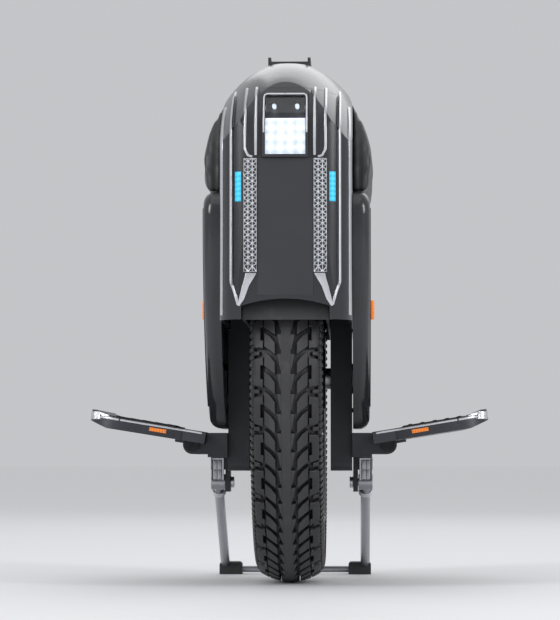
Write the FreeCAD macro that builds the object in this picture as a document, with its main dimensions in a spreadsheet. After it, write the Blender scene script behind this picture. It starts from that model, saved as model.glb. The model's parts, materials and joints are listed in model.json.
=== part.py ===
import FreeCAD, Part
import math
import os
import re
import Sketcher

# An electric unicycle on its parking stand. X runs across, -Y is the front, Z is up.
# The origin lies on the floor under the middle of the axle. Lengths in mm, angles in degrees.

doc = FreeCAD.newDocument("electric_unicycle")
sheet = doc.addObject("Spreadsheet::Sheet", "Sizes")

sizes = {
    # shared fits
    "overrun": 5.0,
    "running_fit": 0.05,
    "trim_fit": 0.15,
    # tyre and tube
    "tyre_radius": 228.6,
    "tyre_half_width": 39.0,
    "rib_half_width": 7.0,
    "tread_groove_width": 2.6,
    "tread_groove_depth": 5.5,
    "crown_drop": 0.8,
    "shoulder_half_width": 34.0,
    "shoulder_drop": 11.0,
    "sidewall_radius": 203.0,
    "casing_thickness": 5.5,
    "crown_thickness": 13.0,
    "bead_radius": 177.5,
    "bead_half_width": 27.8,
    "bead_thickness": 5.0,
    "tube_section_radius": 17.5,
    "tube_wall": 2.5,
    "tube_gap": 0.4,
    "valve_radius": 3.5,
    "valve_track_radius": 164.5,
    "valve_reach": 38.0,
    # rim and hub motor
    "rim_half_width": 31.0,
    "rim_flange_height": 9.0,
    "rim_flange_thickness": 2.8,
    "rim_seat_half_width": 15.0,
    "rim_well_half_width": 12.0,
    "rim_well_depth": 7.0,
    "rim_bore_radius": 158.0,
    "bead_gap": 0.3,
    "rotor_thickness": 6.0,
    "rotor_half_length": 20.0,
    "magnet_thickness": 4.0,
    "magnet_half_width": 10.0,
    "magnet_bond": 0.3,
    "air_gap": 0.7,
    "stator_half_length": 17.5,
    "stator_bore_radius": 112.0,
    "stator_slot_depth": 26.0,
    "stator_slot_width": 9.0,
    "stator_hub_half_length": 12.0,
    "stator_hub_hole_radius": 22.0,
    "stator_hub_hole_track": 66.0,
    "cover_radius": 176.0,
    "cover_thickness": 4.0,
    "cover_boss_radius": 36.0,
    "cover_boss_chamfer": 3.0,
    "bearing_radius": 26.0,
    "bearing_inner_face": 30.0,
    "bearing_width": 9.0,
    "cover_bolt_track_radius": 170.0,
    "cover_bolt_radius": 2.5,
    "cover_bolt_length": 14.0,
    "cover_bolt_head_radius": 4.3,
    "cover_bolt_head_height": 3.0,
    # axle, hangers and inner frame
    "axle_radius": 12.0,
    "axle_overhang": 13.0,
    "nut_radius": 17.0,
    "nut_height": 9.0,
    "hanger_inner_face": 45.0,
    "hanger_thickness": 24.0,
    "hanger_half_length": 42.0,
    "hanger_bottom": 125.0,
    "hanger_top": 350.0,
    "hanger_corner_radius": 9.0,
    "hanger_pocket_depth": 9.0,
    "hanger_pocket_margin": 11.0,
    "hanger_axle_margin": 30.0,
    "hanger_bolt_radius": 3.0,
    "hanger_bolt_head_radius": 5.5,
    "hanger_bolt_head_height": 4.0,
    "hanger_bolt_spread": 29.0,
    "hanger_bolt_low": 296.0,
    "hanger_bolt_high": 336.0,
    "wheel_clearance": 10.4,
    "frame_wall": 3.0,
    # shell outline
    "shell_half_width": 70.0,
    "shell_base": 283.0,
    "face_gap": 10.0,
    "face_reach": "=tyre_radius + wheel_clearance + frame_wall + face_gap",
    "face_lean": 8.0,
    "cap_base": 527.0,
    "brow_drop": 65.0,
    "brow_height": "=cap_base - brow_drop",
    "brow_radius": 103.0,
    "brow_turn": 80.0,
    "crest_rise": 48.6,
    "crest_height": "=cap_base + crest_rise",
    "arch_drop": 11.0,
    "arch_height": "=cap_base - arch_drop",
    "arch_radius": 62.0,
    "plan_radius": 40.0,
    "dome_half_width": 110.0,
    "dome_overhang": 78.0,
    "dome_half_length": "=face_reach + dome_overhang",
    "dome_base": 400.0,
    "dome_room": 6.4,
    "dome_rise": "=crest_height - dome_base + dome_room",
    "shell_wall": 4.0,
    # wheel arch in the front and rear faces
    "arch_half_width": 46.0,
    "arch_side_height": 297.0,
    "arch_crown_height": 304.5,
    # front trim
    "trim_rise": 1.6,
    "trim_depth": 2.0,
    "panel_half_width": 29.0,
    "panel_bottom": 308.0,
    "grille_inner": 29.6,
    "grille_outer": 43.4,
    "grille_bottom": 332.0,
    "bar_inner": 46.0,
    "bar_outer": 52.5,
    "bar_bottom": 406.0,
    "bar_top": 437.0,
    "rib_track": 56.5,
    "rib_width": 2.4,
    "rib_bottom": 318.0,
    "lamp_rib_track": 30.5,
    "lamp_rib_width": 5.0,
    "lamp_rib_gap": 1.5,
    # headlight
    "lamp_half_width": 24.0,
    "lamp_gap": 6.0,
    "lamp_top": "=cap_base - lamp_gap",
    "lamp_height": 69.5,
    "lamp_bottom": "=lamp_top - lamp_height",
    "lamp_rib_bottom": "=lamp_bottom + lamp_rib_gap",
    "grille_gap": 1.0,
    "grille_top": "=lamp_bottom - grille_gap",
    "lamp_rise": 3.0,
    "lamp_frame": 3.2,
    "lamp_depth": 26.0,
    "lamp_back": 5.0,
    "lamp_block_height": 42.5,
    "lamp_block_top": "=lamp_bottom + lamp_block_height",
    "lamp_block_depth": 12.0,
    "diode_radius": 2.2,
    "diode_spread": 12.0,
    "diode_drop": 13.0,
    "diode_height": "=lamp_top - diode_drop",
    # tail light and charge port
    "tail_half_width": 34.0,
    "tail_bottom": 404.0,
    "tail_top": 424.0,
    "port_height": 480.0,
    "port_radius": 9.0,
    "port_length": 24.0,
    "port_socket_radius": 6.0,
    "port_socket_depth": 14.0,
    "port_recess": 4.0,
    "port_cap_radius": 13.0,
    "port_cap_gap": 0.3,
    "port_hinge_rise": 16.0,
    "port_hinge_height": "=port_height + port_hinge_rise",
    "port_pin_radius": 0.9,
    "port_pin_half_length": 9.0,
    "port_tab_half_width": 5.0,
    "port_ear_inner": 5.6,
    "port_ear_half_height": 3.0,
    "port_ear_depth": 14.0,
    # top: saddle for the hand, handle, power button
    "saddle_half_length": 58.0,
    "saddle_wall": 4.0,
    "handle_half_width": 23.5,
    "handle_half_length": 74.0,
    "handle_sink": 7.6,
    "handle_bottom": "=crest_height - handle_sink",
    "handle_thickness": 10.5,
    "handle_deck": "=handle_bottom + handle_thickness",
    "handle_lip_rise": 4.5,
    "handle_top": "=handle_deck + handle_lip_rise",
    "hand_room": 27.0,
    "saddle_floor": "=handle_bottom - hand_room",
    "handle_lip": 3.2,
    "handle_round": 4.0,
    "lift_button_radius": 7.0,
    "lift_button_drop": 2.5,
    "lift_button_length": 8.0,
    "button_travel": 1.5,
    "power_button_place": 98.0,
    "power_button_radius": 9.0,
    "power_button_drop": 5.3,
    "power_button_top": "=crest_height - power_button_drop",
    "power_button_length": 12.0,
    "power_button_rise": 1.8,
    "power_recess_radius": 12.5,
    "power_recess_floor": "=power_button_top - power_button_rise",
    "power_boss_height": 13.0,
    # side panels and pads
    "panel_thickness": 18.5,
    "panel_top": 422.0,
    "panel_top_reach": 206.0,
    "panel_mid_reach": 180.0,
    "panel_mid_height": 292.0,
    "panel_foot_reach": 66.0,
    "panel_foot": 172.0,
    "panel_corner": 24.0,
    "panel_round": 12.0,
    "panel_hollow_reach": 118.0,
    "panel_hollow_bottom": 236.0,
    "panel_hollow_top": 390.0,
    "panel_wall": 4.0,
    "pad_thickness": 19.5,
    "pad_root": 10.0,
    "pad_bottom": 422.6,
    "pad_overlap": 15.0,
    "pad_top": "=cap_base + pad_overlap",
    "pad_bulge_share": 0.406,
    "pad_bulge_height": "=pad_bottom + (pad_top - pad_bottom) * pad_bulge_share",
    "pad_tip_inset": 2.5,
    "pad_reach": 168.0,
    "pad_top_reach": 78.0,
    "pad_mid_reach": 140.0,
    "pad_mid_share": 0.674,
    "pad_mid_height": "=pad_bottom + (pad_top - pad_bottom) * pad_mid_share",
    "marker_height": 301.0,
    "marker_half_height": 8.5,
    "marker_half_length": 3.0,
    "marker_place": 120.0,
    "marker_depth": 3.0,
    "marker_rise": 0.8,
    "screw_radius": 2.0,
    "screw_head_radius": 4.2,
    "screw_head_height": 3.0,
    "screw_sink": 4.0,
    "screw_length": 18.5,
    "screw_top_place": 165.0,
    "screw_top_height": 403.0,
    "screw_low_place": 28.0,
    "screw_low_height": 193.0,
    # batteries and electronics
    "battery_near": 48.0,
    "battery_gap": 4.0,
    "battery_far": "=face_reach - plan_radius - battery_gap",
    "battery_bottom": 288.0,
    "battery_top": 448.0,
    "rear_battery_near": 94.0,
    "rear_battery_far": 180.0,
    "rear_battery_half_width": 56.0,
    "rear_battery_room": 22.0,
    "rear_battery_top": "=cap_base - rear_battery_room",
    "heat_sink_half_width": 46.0,
    "heat_sink_half_length": 50.0,
    "heat_sink_height": 11.0,
    "fin_gap": 5.0,
    "fin_depth": 7.0,
    "board_thickness": 2.0,
    "saddle_slab": 4.0,
    # pedals
    "pedal_pin_place": 108.0,
    "pedal_pin_height": 154.0,
    "pedal_pin_radius": 5.0,
    "pedal_pin_head_radius": 8.0,
    "pedal_pin_head_height": 3.0,
    "pedal_tilt": 9.2,
    "knuckle_radius": 10.5,
    "knuckle_half_length": 30.0,
    "bracket_half_length": 58.0,
    "bracket_bottom": 140.0,
    "bracket_top": 167.0,
    "bracket_reach": 91.0,
    "bracket_round": 4.0,
    "hinge_gap": 0.4,
    "pedal_half_length": 118.0,
    "pedal_root_half_length": 96.0,
    "pedal_length": 113.0,
    "pedal_root": 11.2,
    "pedal_wing_reach": 15.0,
    "pedal_wing_gap": 5.0,
    "pedal_deck": 16.0,
    "pedal_underside": 3.0,
    "pedal_tip_underside": 9.0,
    "pedal_taper_start": 92.0,
    "pedal_lip_rise": 5.0,
    "pedal_lip_width": 8.0,
    "pedal_lip_slope": 5.0,
    "pedal_corner_radius": 34.0,
    "grip_thickness": 1.5,
    "grip_margin": 9.0,
    "grip_half_length": 98.0,
    "pedal_marker_place": 37.0,
    "pedal_marker_half_width": 9.0,
    "pedal_marker_bottom": 7.5,
    "pedal_marker_top": 11.5,
    "pedal_marker_depth": 2.0,
    # parking stand
    "stand_track": 84.0,
    "stand_pivot_place": 40.0,
    "stand_pivot_height": 112.0,
    "stand_foot_place": 214.0,
    "leg_radius": 5.5,
    "eye_radius": 9.0,
    "eye_half_width": 8.0,
    "bar_radius": 3.9,
    "bar_lift": 2.0,
    "cheek_inner": 70.0,
    "cheek_gap": 0.5,
    "cheek_half_length": 12.0,
    "cheek_drop": 11.0,
    "stand_block_outer": 92.0,
    "stand_block_half_length": 14.0,
    "stand_block_bottom": 126.0,
    "stand_pin_radius": 4.0,
    "stand_pin_head_radius": 6.5,
    "stand_pin_head_height": 4.0,
    "collar_radius": 8.0,
    "collar_start": 14.0,
    "collar_length": 8.0,
    "foot_inner": 64.0,
    "foot_outer": 91.0,
    "foot_half_length": 13.0,
    "foot_height": 15.0,
    "foot_round": 4.0,
}
magnet_count = 40
stator_slot_count = 36
hub_hole_count = 6
cover_bolt_count = 8
fin_count = 8
quarter_turn = 90
full_turn = 360
x_axis = FreeCAD.Vector(1, 0, 0)
y_axis = FreeCAD.Vector(0, 1, 0)
z_axis = FreeCAD.Vector(0, 0, 1)

for row, (alias, value) in enumerate(sizes.items(), start=1):
    sheet.set(f"A{row}", alias)
    sheet.set(f"B{row}", str(value))
    sheet.setAlias(f"B{row}", alias)
doc.recompute()


def number(formula):
    """The present value of a formula in the sheet's names."""
    return float(sheet.evalExpression(formula))


def bound(formula):
    """The formula as an expression that any object of the document can hold."""
    return re.sub(r"\b([a-z]\w*)\b(?!\()", r"Sizes.\1", formula)


def bind(item, formulas):
    for target, formula in formulas.items():
        item.setExpression(target, bound(formula))


def box(name, x, y, z):
    """A block between two formulas on each axis."""
    item = doc.addObject("Part::Box", name)
    bind(item, {
        "Length": f"({x[1]}) - ({x[0]})", "Width": f"({y[1]}) - ({y[0]})", "Height": f"({z[1]}) - ({z[0]})",
        "Placement.Base.x": x[0], "Placement.Base.y": y[0], "Placement.Base.z": z[0],
    })
    return item


def rod(name, axis, radius, span, centre):
    """A cylinder along an axis, from span[0] to span[1], with its centre on the other two axes."""
    item = doc.addObject("Part::Cylinder", name)
    turns = {"x": (y_axis, quarter_turn), "y": (x_axis, -quarter_turn), "z": (z_axis, 0)}
    item.Placement = FreeCAD.Placement(FreeCAD.Vector(), FreeCAD.Rotation(*turns[axis]))
    base = dict(zip([a for a in "xyz" if a != axis], centre))
    base[axis] = span[0]
    bind(item, {"Radius": radius, "Height": f"({span[1]}) - ({span[0]})"})
    bind(item, {f"Placement.Base.{a}": base[a] for a in "xyz"})
    return item


def join(name, *items):
    item = doc.addObject("Part::MultiFuse", name)
    item.Shapes = list(items)
    return item


def group(name, *items):
    item = doc.addObject("Part::Compound", name)
    item.Links = list(items)
    return item


def overlap(name, first, second):
    item = doc.addObject("Part::Common", name)
    item.Base = first
    item.Tool = second
    return item


def cut(name, base, *tools):
    item = doc.addObject("Part::Cut", name)
    item.Base = base
    item.Tool = tools[0] if len(tools) == 1 else group(name + "_tools", *tools)
    return item


def mirrored(name, source):
    """The same piece on the other side of the middle plane."""
    item = doc.addObject("Part::Mirroring", name)
    item.Source = source
    item.Normal = x_axis
    return item


def arc_between(start, via, stop):
    """A counter-clockwise arc through three points, and whether it runs from start to stop."""
    circle = Part.Circle(start, via, stop)
    centre = circle.Center
    forward = (via - start).cross(stop - via).z > 0
    first, last = (start, stop) if forward else (stop, start)
    low = math.atan2(first.y - centre.y, first.x - centre.x)
    high = math.atan2(last.y - centre.y, last.x - centre.x)
    if high < low:
        high += 2 * math.pi
    round_side = Part.Circle(centre, z_axis, circle.Radius)
    return Part.ArcOfCircle(round_side, low, high), forward


def pin_point(sketch, geometry, position, u, v):
    for kind, formula in (("DistanceX", u), ("DistanceY", v)):
        rule = Sketcher.Constraint(kind, -1, 1, geometry, position, number(formula))
        sketch.setExpression(f"Constraints[{sketch.addConstraint(rule)}]", bound(formula))


def draw(body, role, path, offset):
    """A closed outline on an origin plane. A corner with four formulas starts an arc through the last two."""
    sketch = body.newObject("Sketcher::SketchObject", body.Name + "_outline")
    plane = next(feature for feature in body.Origin.OriginFeatures if feature.Role == role)
    sketch.AttachmentSupport = (plane, [""])
    sketch.MapMode = "FlatFace"
    sketch.setExpression("AttachmentOffset.Base.z", bound(offset))
    spots = [FreeCAD.Vector(number(corner[0]), number(corner[1]), 0) for corner in path]
    sides = []
    for index, corner in enumerate(path):
        start = spots[index]
        stop = spots[(index + 1) % len(path)]
        if len(corner) == 2:
            sides.append((sketch.addGeometry(Part.LineSegment(start, stop)), 1, 2))
            continue
        via = FreeCAD.Vector(number(corner[2]), number(corner[3]), 0)
        arc, forward = arc_between(start, via, stop)
        side = sketch.addGeometry(arc)
        sides.append((side, 1, 2) if forward else (side, 2, 1))
        middle = sketch.addGeometry(Part.Point(via), True)
        sketch.addConstraint(Sketcher.Constraint("PointOnObject", middle, 1, side))
        pin_point(sketch, middle, 1, corner[2], corner[3])
    for index, corner in enumerate(path):
        before = sides[index - 1]
        side = sides[index]
        sketch.addConstraint(Sketcher.Constraint("Coincident", before[0], before[2], side[0], side[1]))
        pin_point(sketch, side[0], side[1], corner[0], corner[1])
    return sketch


def prism(name, role, path, span):
    """An outline on an origin plane, extruded between two places on that plane's normal axis."""
    body = doc.addObject("PartDesign::Body", name)
    offset = f"-({span[1]})" if role == "XZ_Plane" else span[0]
    sketch = draw(body, role, path, offset)
    pad = body.newObject("PartDesign::Pad", name + "_pad")
    pad.Profile = sketch
    bind(pad, {"Length": f"({span[1]}) - ({span[0]})"})
    doc.recompute()
    return body


def pocket(body, role, path, offset, depth):
    """A hollow cut into a prism from a plane, along that plane's normal."""
    before = body.Shape.Volume
    sketch = draw(body, role, path, offset)
    hollow = body.newObject("PartDesign::Pocket", body.Name + "_pocket")
    hollow.Profile = sketch
    hollow.Reversed = True
    bind(hollow, {"Length": depth})
    doc.recompute()
    if body.Shape.Volume >= before:
        raise ValueError(f"the pocket in {body.Name} cuts nothing")


def soften(body, radius, chosen):
    """A fillet on every edge of the body that the chosen test accepts."""
    base = body.Tip
    names = [f"Edge{i}" for i, edge in enumerate(base.Shape.Edges, start=1) if chosen(edge)]
    fillet = body.newObject("PartDesign::Fillet", body.Name + "_fillet")
    fillet.Base = (base, names)
    bind(fillet, {"Radius": radius})
    body.Tip = fillet
    doc.recompute()


def turned(name, path):
    """A half section in places along the axle and radii, turned about the axle."""
    body = doc.addObject("PartDesign::Body", name)
    sketch = draw(body, "XZ_Plane", path, "0")
    turn = body.newObject("PartDesign::Revolution", name + "_turn")
    turn.Profile = sketch
    axis = next(feature for feature in body.Origin.OriginFeatures if feature.Role == "X_Axis")
    turn.ReferenceAxis = (axis, [""])
    turn.Angle = full_turn
    bind(body, {"Placement.Base.z": "tyre_radius"})
    doc.recompute()
    return body


def both_sides(path):
    """A half outline with its mirror image across the middle plane, as one closed outline."""
    back = []
    for index in range(len(path) - 1, -1, -1):
        corner = path[index]
        arc = path[index - 1][2:] if index and len(path[index - 1]) == 4 else ()
        back.append((f"-({corner[0]})", corner[1]) + ((f"-({arc[0]})", arc[1]) if arc else ()))
    return list(path) + back


def solids(name, shapes):
    """A group of loose repeated pieces, worked out from the sheet."""
    item = doc.addObject("Part::Feature", name)
    item.Shape = Part.makeCompound(shapes)
    return item


def fasteners(name, places, direction, lengths, radii, grow=0):
    """Bolts whose heads start at the given places and whose shanks run along the direction."""
    shapes = []
    for place in places:
        head_start = place - direction * (lengths[0] + grow)
        head = Part.makeCylinder(radii[0] + grow, lengths[0] + grow, head_start, direction)
        shank = Part.makeCylinder(radii[1] + grow, lengths[1] + grow, place, direction)
        shapes.append(head.fuse(shank).removeSplitter())
    return solids(name, shapes)


nodes = {}


def keep(label, item):
    item.Label = label
    nodes[label] = item
    return item


# Wheel: tyre, tube, valve and rim
axle_line = ("0", "tyre_radius")
crown_edge = "rib_half_width + tread_groove_width"
tyre = turned("tyre_body", both_sides([
    ("rib_half_width", "tyre_radius"),
    ("rib_half_width", "tyre_radius - tread_groove_depth"),
    (crown_edge, "tyre_radius - tread_groove_depth"),
    (crown_edge, "tyre_radius - crown_drop",
     f"({crown_edge} + shoulder_half_width) / 2", "tyre_radius - crown_drop - shoulder_drop / 3"),
    ("shoulder_half_width", "tyre_radius - shoulder_drop",
     "tyre_half_width", "sidewall_radius"),
    ("bead_half_width", "bead_radius + rim_flange_height"),
    ("bead_half_width", "bead_radius"),
    ("bead_half_width - bead_thickness", "bead_radius"),
    ("bead_half_width - bead_thickness", "bead_radius + rim_flange_height",
     "tyre_half_width - casing_thickness", "sidewall_radius"),
    ("shoulder_half_width - casing_thickness * 2", "tyre_radius - crown_thickness"),
]))
keep("tyre", tyre)

tube_track = "tyre_radius - crown_thickness - tube_gap - tube_section_radius"


def torus(name, section):
    item = doc.addObject("Part::Torus", name)
    item.Placement = FreeCAD.Placement(FreeCAD.Vector(), FreeCAD.Rotation(y_axis, quarter_turn))
    bind(item, {"Radius1": tube_track, "Radius2": section, "Placement.Base.z": "tyre_radius"})
    return item


valve_height = "tyre_radius + valve_track_radius"
tube_inner = f"tyre_radius + {tube_track} - tube_section_radius"


def valve(name, grow):
    stem = rod(name + "_stem", "x", f"valve_radius + {grow}", ("0", "valve_reach"), ("0", valve_height))
    neck = rod(name + "_neck", "z", f"valve_radius + {grow}", (valve_height, tube_inner), ("0", "0"))
    elbow = doc.addObject("Part::Sphere", name + "_elbow")
    bind(elbow, {"Radius": f"valve_radius + {grow}", "Placement.Base.z": valve_height})
    return join(name, stem, neck, elbow)


valve_room = valve("valve_room", "trim_fit")
keep("inner_tube", cut("tube_hollow", torus("tube_outside", "tube_section_radius"),
                       torus("tube_inside", "tube_section_radius - tube_wall")))
keep("valve_stem", valve("valve", "0"))


def cover_bolts(name, grow=0):
    shapes = []
    for side in (1, -1):
        face = number("rim_half_width + cover_thickness") * side
        places = []
        for index in range(cover_bolt_count):
            turn = math.radians(full_turn / cover_bolt_count * (index + 0.5))
            track = number("cover_bolt_track_radius")
            rise = number("tyre_radius") + track * math.cos(turn)
            places.append(FreeCAD.Vector(face, track * math.sin(turn), rise))
        bolts = fasteners(f"{name}_{side + 1}", places, x_axis * -side,
                          (number("cover_bolt_head_height"), number("cover_bolt_length")),
                          (number("cover_bolt_head_radius"), number("cover_bolt_radius")), grow)
        shapes.append(bolts)
    return group(name, *shapes)


bolt_room = cover_bolts("cover_bolt_room", number("trim_fit"))
rim_seat = "bead_radius - bead_gap"
rim_body = turned("rim_body", both_sides([
    ("rim_well_half_width", f"{rim_seat} - rim_well_depth"),
    ("rim_seat_half_width", rim_seat),
    ("bead_half_width + bead_gap", rim_seat),
    ("bead_half_width + bead_gap", "bead_radius + rim_flange_height - bead_gap"),
    ("bead_half_width + bead_gap + rim_flange_thickness", "bead_radius + rim_flange_height - bead_gap"),
    ("rim_half_width", f"{rim_seat} - rim_well_depth"),
    ("rim_half_width", "rim_bore_radius"),
]))
keep("rim", cut("rim_drilled", rim_body, bolt_room, valve_room))


def band(name, outer, inner, span):
    """A ring about the axle."""
    solid = rod(name + "_outside", "x", outer, span, axle_line)
    bore = rod(name + "_inside", "x", inner, (f"{span[0]} - overrun", f"{span[1]} + overrun"), axle_line)
    return cut(name, solid, bore)


magnet_radius = "rim_bore_radius - rotor_thickness"
stator_radius = f"{magnet_radius} - magnet_thickness - air_gap"
rotor_span = ("-rotor_half_length", "rotor_half_length")
keep("rotor_ring", band("rotor_band", "rim_bore_radius", magnet_radius, rotor_span))


def magnets():
    shapes = []
    inner = number(f"{magnet_radius} - magnet_thickness")
    outer = number(f"{magnet_radius} - magnet_bond")
    half = number("magnet_half_width")
    length = number("rotor_half_length")
    ring = Part.makeCylinder(outer, 2 * length).cut(Part.makeCylinder(inner, 2 * length))
    slab = Part.makeBox(outer, 2 * half, 2 * length, FreeCAD.Vector(0, -half, 0))
    magnet = ring.common(slab)
    magnet.rotate(FreeCAD.Vector(), y_axis, quarter_turn)
    magnet.translate(FreeCAD.Vector(-length, 0, number("tyre_radius")))
    for index in range(magnet_count):
        copy = magnet.copy()
        copy.rotate(FreeCAD.Vector(0, 0, number("tyre_radius")), x_axis, full_turn / magnet_count * index)
        shapes.append(copy)
    return solids("magnet_set", shapes)


keep("magnets", magnets())
cover_outer = "rim_half_width + cover_thickness"
bearing_outer = "bearing_inner_face + bearing_width"
cover_body = turned("cover_body", [
    ("rim_half_width", "cover_radius"),
    (cover_outer, "cover_radius"),
    (cover_outer, "cover_boss_radius"),
    (bearing_outer, "cover_boss_radius - cover_boss_chamfer"),
    (bearing_outer, "bearing_radius"),
    ("bearing_inner_face", "bearing_radius"),
    ("bearing_inner_face", "cover_boss_radius"),
    ("rim_half_width", "cover_boss_radius"),
])
cover_blank = mirrored("cover_blank_left", cover_body)
keep("motor_cover_right", cut("cover_right", cover_body, bolt_room, valve_room))
keep("motor_cover_left", cut("cover_left", cover_blank, bolt_room))
keep("cover_bolts", cover_bolts("cover_bolt_set"))
bearing = band("bearing_right", "bearing_radius", "axle_radius + running_fit",
               ("bearing_inner_face", bearing_outer))
keep("bearings", group("bearing_pair", bearing, mirrored("bearing_left", bearing)))

# Stator, axle, nuts
hanger_outer = "hanger_inner_face + hanger_thickness"
axle_end = f"{hanger_outer} + axle_overhang"
keep("axle", rod("axle_bar", "x", "axle_radius", (f"-({axle_end})", axle_end), axle_line))


def stator_slots():
    shapes = []
    outer = number(stator_radius)
    width = number("stator_slot_width")
    depth = number("stator_slot_depth")
    long = number("stator_half_length") + number("overrun")
    slot = Part.makeBox(2 * long, width, depth, FreeCAD.Vector(-long, -width / 2, outer - depth - width / 2))
    for index in range(stator_slot_count):
        copy = slot.copy()
        copy.rotate(FreeCAD.Vector(), x_axis, full_turn / stator_slot_count * index)
        copy.translate(FreeCAD.Vector(0, 0, number("tyre_radius")))
        shapes.append(copy)
    return solids("stator_slot_set", shapes)


stator_ring = band("stator_ring", stator_radius, "stator_bore_radius",
                   ("-stator_half_length", "stator_half_length"))
keep("stator_core", cut("stator_slotted", stator_ring, stator_slots()))
hub_holes = []
for index in range(hub_hole_count):
    turn = full_turn / hub_hole_count * index
    hub_holes.append(rod(f"hub_hole_{index}", "x", "stator_hub_hole_radius",
                         ("-stator_hub_half_length - overrun", "stator_hub_half_length + overrun"),
                         (f"stator_hub_hole_track * cos({turn})",
                          f"tyre_radius + stator_hub_hole_track * sin({turn})")))
hub_disc = band("hub_disc", "stator_bore_radius", "axle_radius",
                ("-stator_hub_half_length", "stator_hub_half_length"))
keep("stator_hub", cut("hub_drilled", hub_disc, *hub_holes))

nut = doc.addObject("Part::Prism", "nut_blank")
nut.Placement = FreeCAD.Placement(FreeCAD.Vector(), FreeCAD.Rotation(y_axis, quarter_turn))
bind(nut, {"Circumradius": "nut_radius", "Height": "nut_height",
           "Placement.Base.x": hanger_outer, "Placement.Base.z": "tyre_radius"})
nut_bore = rod("nut_bore", "x", "axle_radius", (hanger_outer, f"{axle_end} + overrun"), axle_line)
nut_right = cut("nut_right", nut, nut_bore)
keep("axle_nuts", group("nut_pair", nut_right, mirrored("nut_left", nut_right)))

# Inner frame over the wheel and the hangers bolted to it
frame_radius = "tyre_radius + wheel_clearance + frame_wall"
drum = rod("drum_outside", "x", frame_radius, ("-hanger_inner_face", "hanger_inner_face"), axle_line)
drum_hollow = rod("drum_inside", "x", "tyre_radius + wheel_clearance",
                  ("-hanger_inner_face + frame_wall", "hanger_inner_face - frame_wall"), axle_line)
drum_keep = box("drum_keep", ("-hanger_inner_face - overrun", "hanger_inner_face + overrun"),
                (f"-({frame_radius}) - overrun", f"{frame_radius} + overrun"),
                ("shell_base", f"tyre_radius + {frame_radius} + overrun"))


def hanger_bolts(name, grow=0):
    places = []
    for side in (1, -1):
        for y in (-number("hanger_bolt_spread"), number("hanger_bolt_spread")):
            for z in (number("hanger_bolt_low"), number("hanger_bolt_high")):
                places.append((side, FreeCAD.Vector(side * number(hanger_outer), y, z)))
    reach = number("hanger_thickness + frame_wall")
    sets = []
    for side in (1, -1):
        spots = [place for place_side, place in places if place_side == side]
        sets.append(fasteners(f"{name}_{side + 1}", spots, x_axis * -side,
                              (number("hanger_bolt_head_height"), reach),
                              (number("hanger_bolt_head_radius"), number("hanger_bolt_radius")), grow))
    return group(name, *sets)


hanger_bolt_room = hanger_bolts("hanger_bolt_room", number("trim_fit"))
drum_shell = cut("drum_shell", drum, drum_hollow)
keep("inner_frame", cut("frame_drilled", overlap("drum_upper", drum_shell, drum_keep), hanger_bolt_room))
keep("hanger_bolts", hanger_bolts("hanger_bolt_set"))

panel_outer = "shell_half_width + panel_thickness"


def panel_screws(name, grow=0):
    sets = []
    for side in (1, -1):
        places = []
        seat = side * number(f"{panel_outer} - screw_sink")
        for row in ("screw_top", "screw_low"):
            spot = number(f"{row}_place")
            for y in (-spot, spot):
                places.append(FreeCAD.Vector(seat, y, number(f"{row}_height")))
        sets.append(fasteners(f"{name}_{side + 1}", places, x_axis * -side,
                              (number("screw_head_height"), number("screw_length")),
                              (number("screw_head_radius"), number("screw_radius")), grow))
    return group(name, *sets)


screw_room = panel_screws("screw_room", number("trim_fit"))
keep("panel_screws", panel_screws("screw_set"))

hanger = prism("hanger_body", "YZ_Plane", [
    ("-hanger_half_length", "hanger_bottom"),
    ("hanger_half_length", "hanger_bottom"),
    ("hanger_half_length", "hanger_top"),
    ("-hanger_half_length", "hanger_top"),
], ("hanger_inner_face", hanger_outer))
soften(hanger, "hanger_corner_radius", lambda edge: abs(edge.tangentAt(edge.FirstParameter).x) > 0.5)
hollow_side = "hanger_half_length - hanger_pocket_margin"
hollow_top = "tyre_radius - hanger_axle_margin"
pocket(hanger, "YZ_Plane", [
    (f"-({hollow_side})", "bracket_top + hanger_pocket_margin"),
    (hollow_side, "bracket_top + hanger_pocket_margin"),
    (hollow_side, hollow_top),
    (f"-({hollow_side})", hollow_top),
], "hanger_inner_face", "hanger_pocket_depth")
axle_room = rod("axle_room", "x", "axle_radius + running_fit",
                ("hanger_inner_face - overrun", f"{hanger_outer} + overrun"), axle_line)
hanger_right = cut("hanger_drilled", hanger, axle_room, hanger_bolt_room, screw_room)
keep("hanger_right", hanger_right)
keep("hanger_left", mirrored("hanger_mirror", hanger_right))


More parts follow.
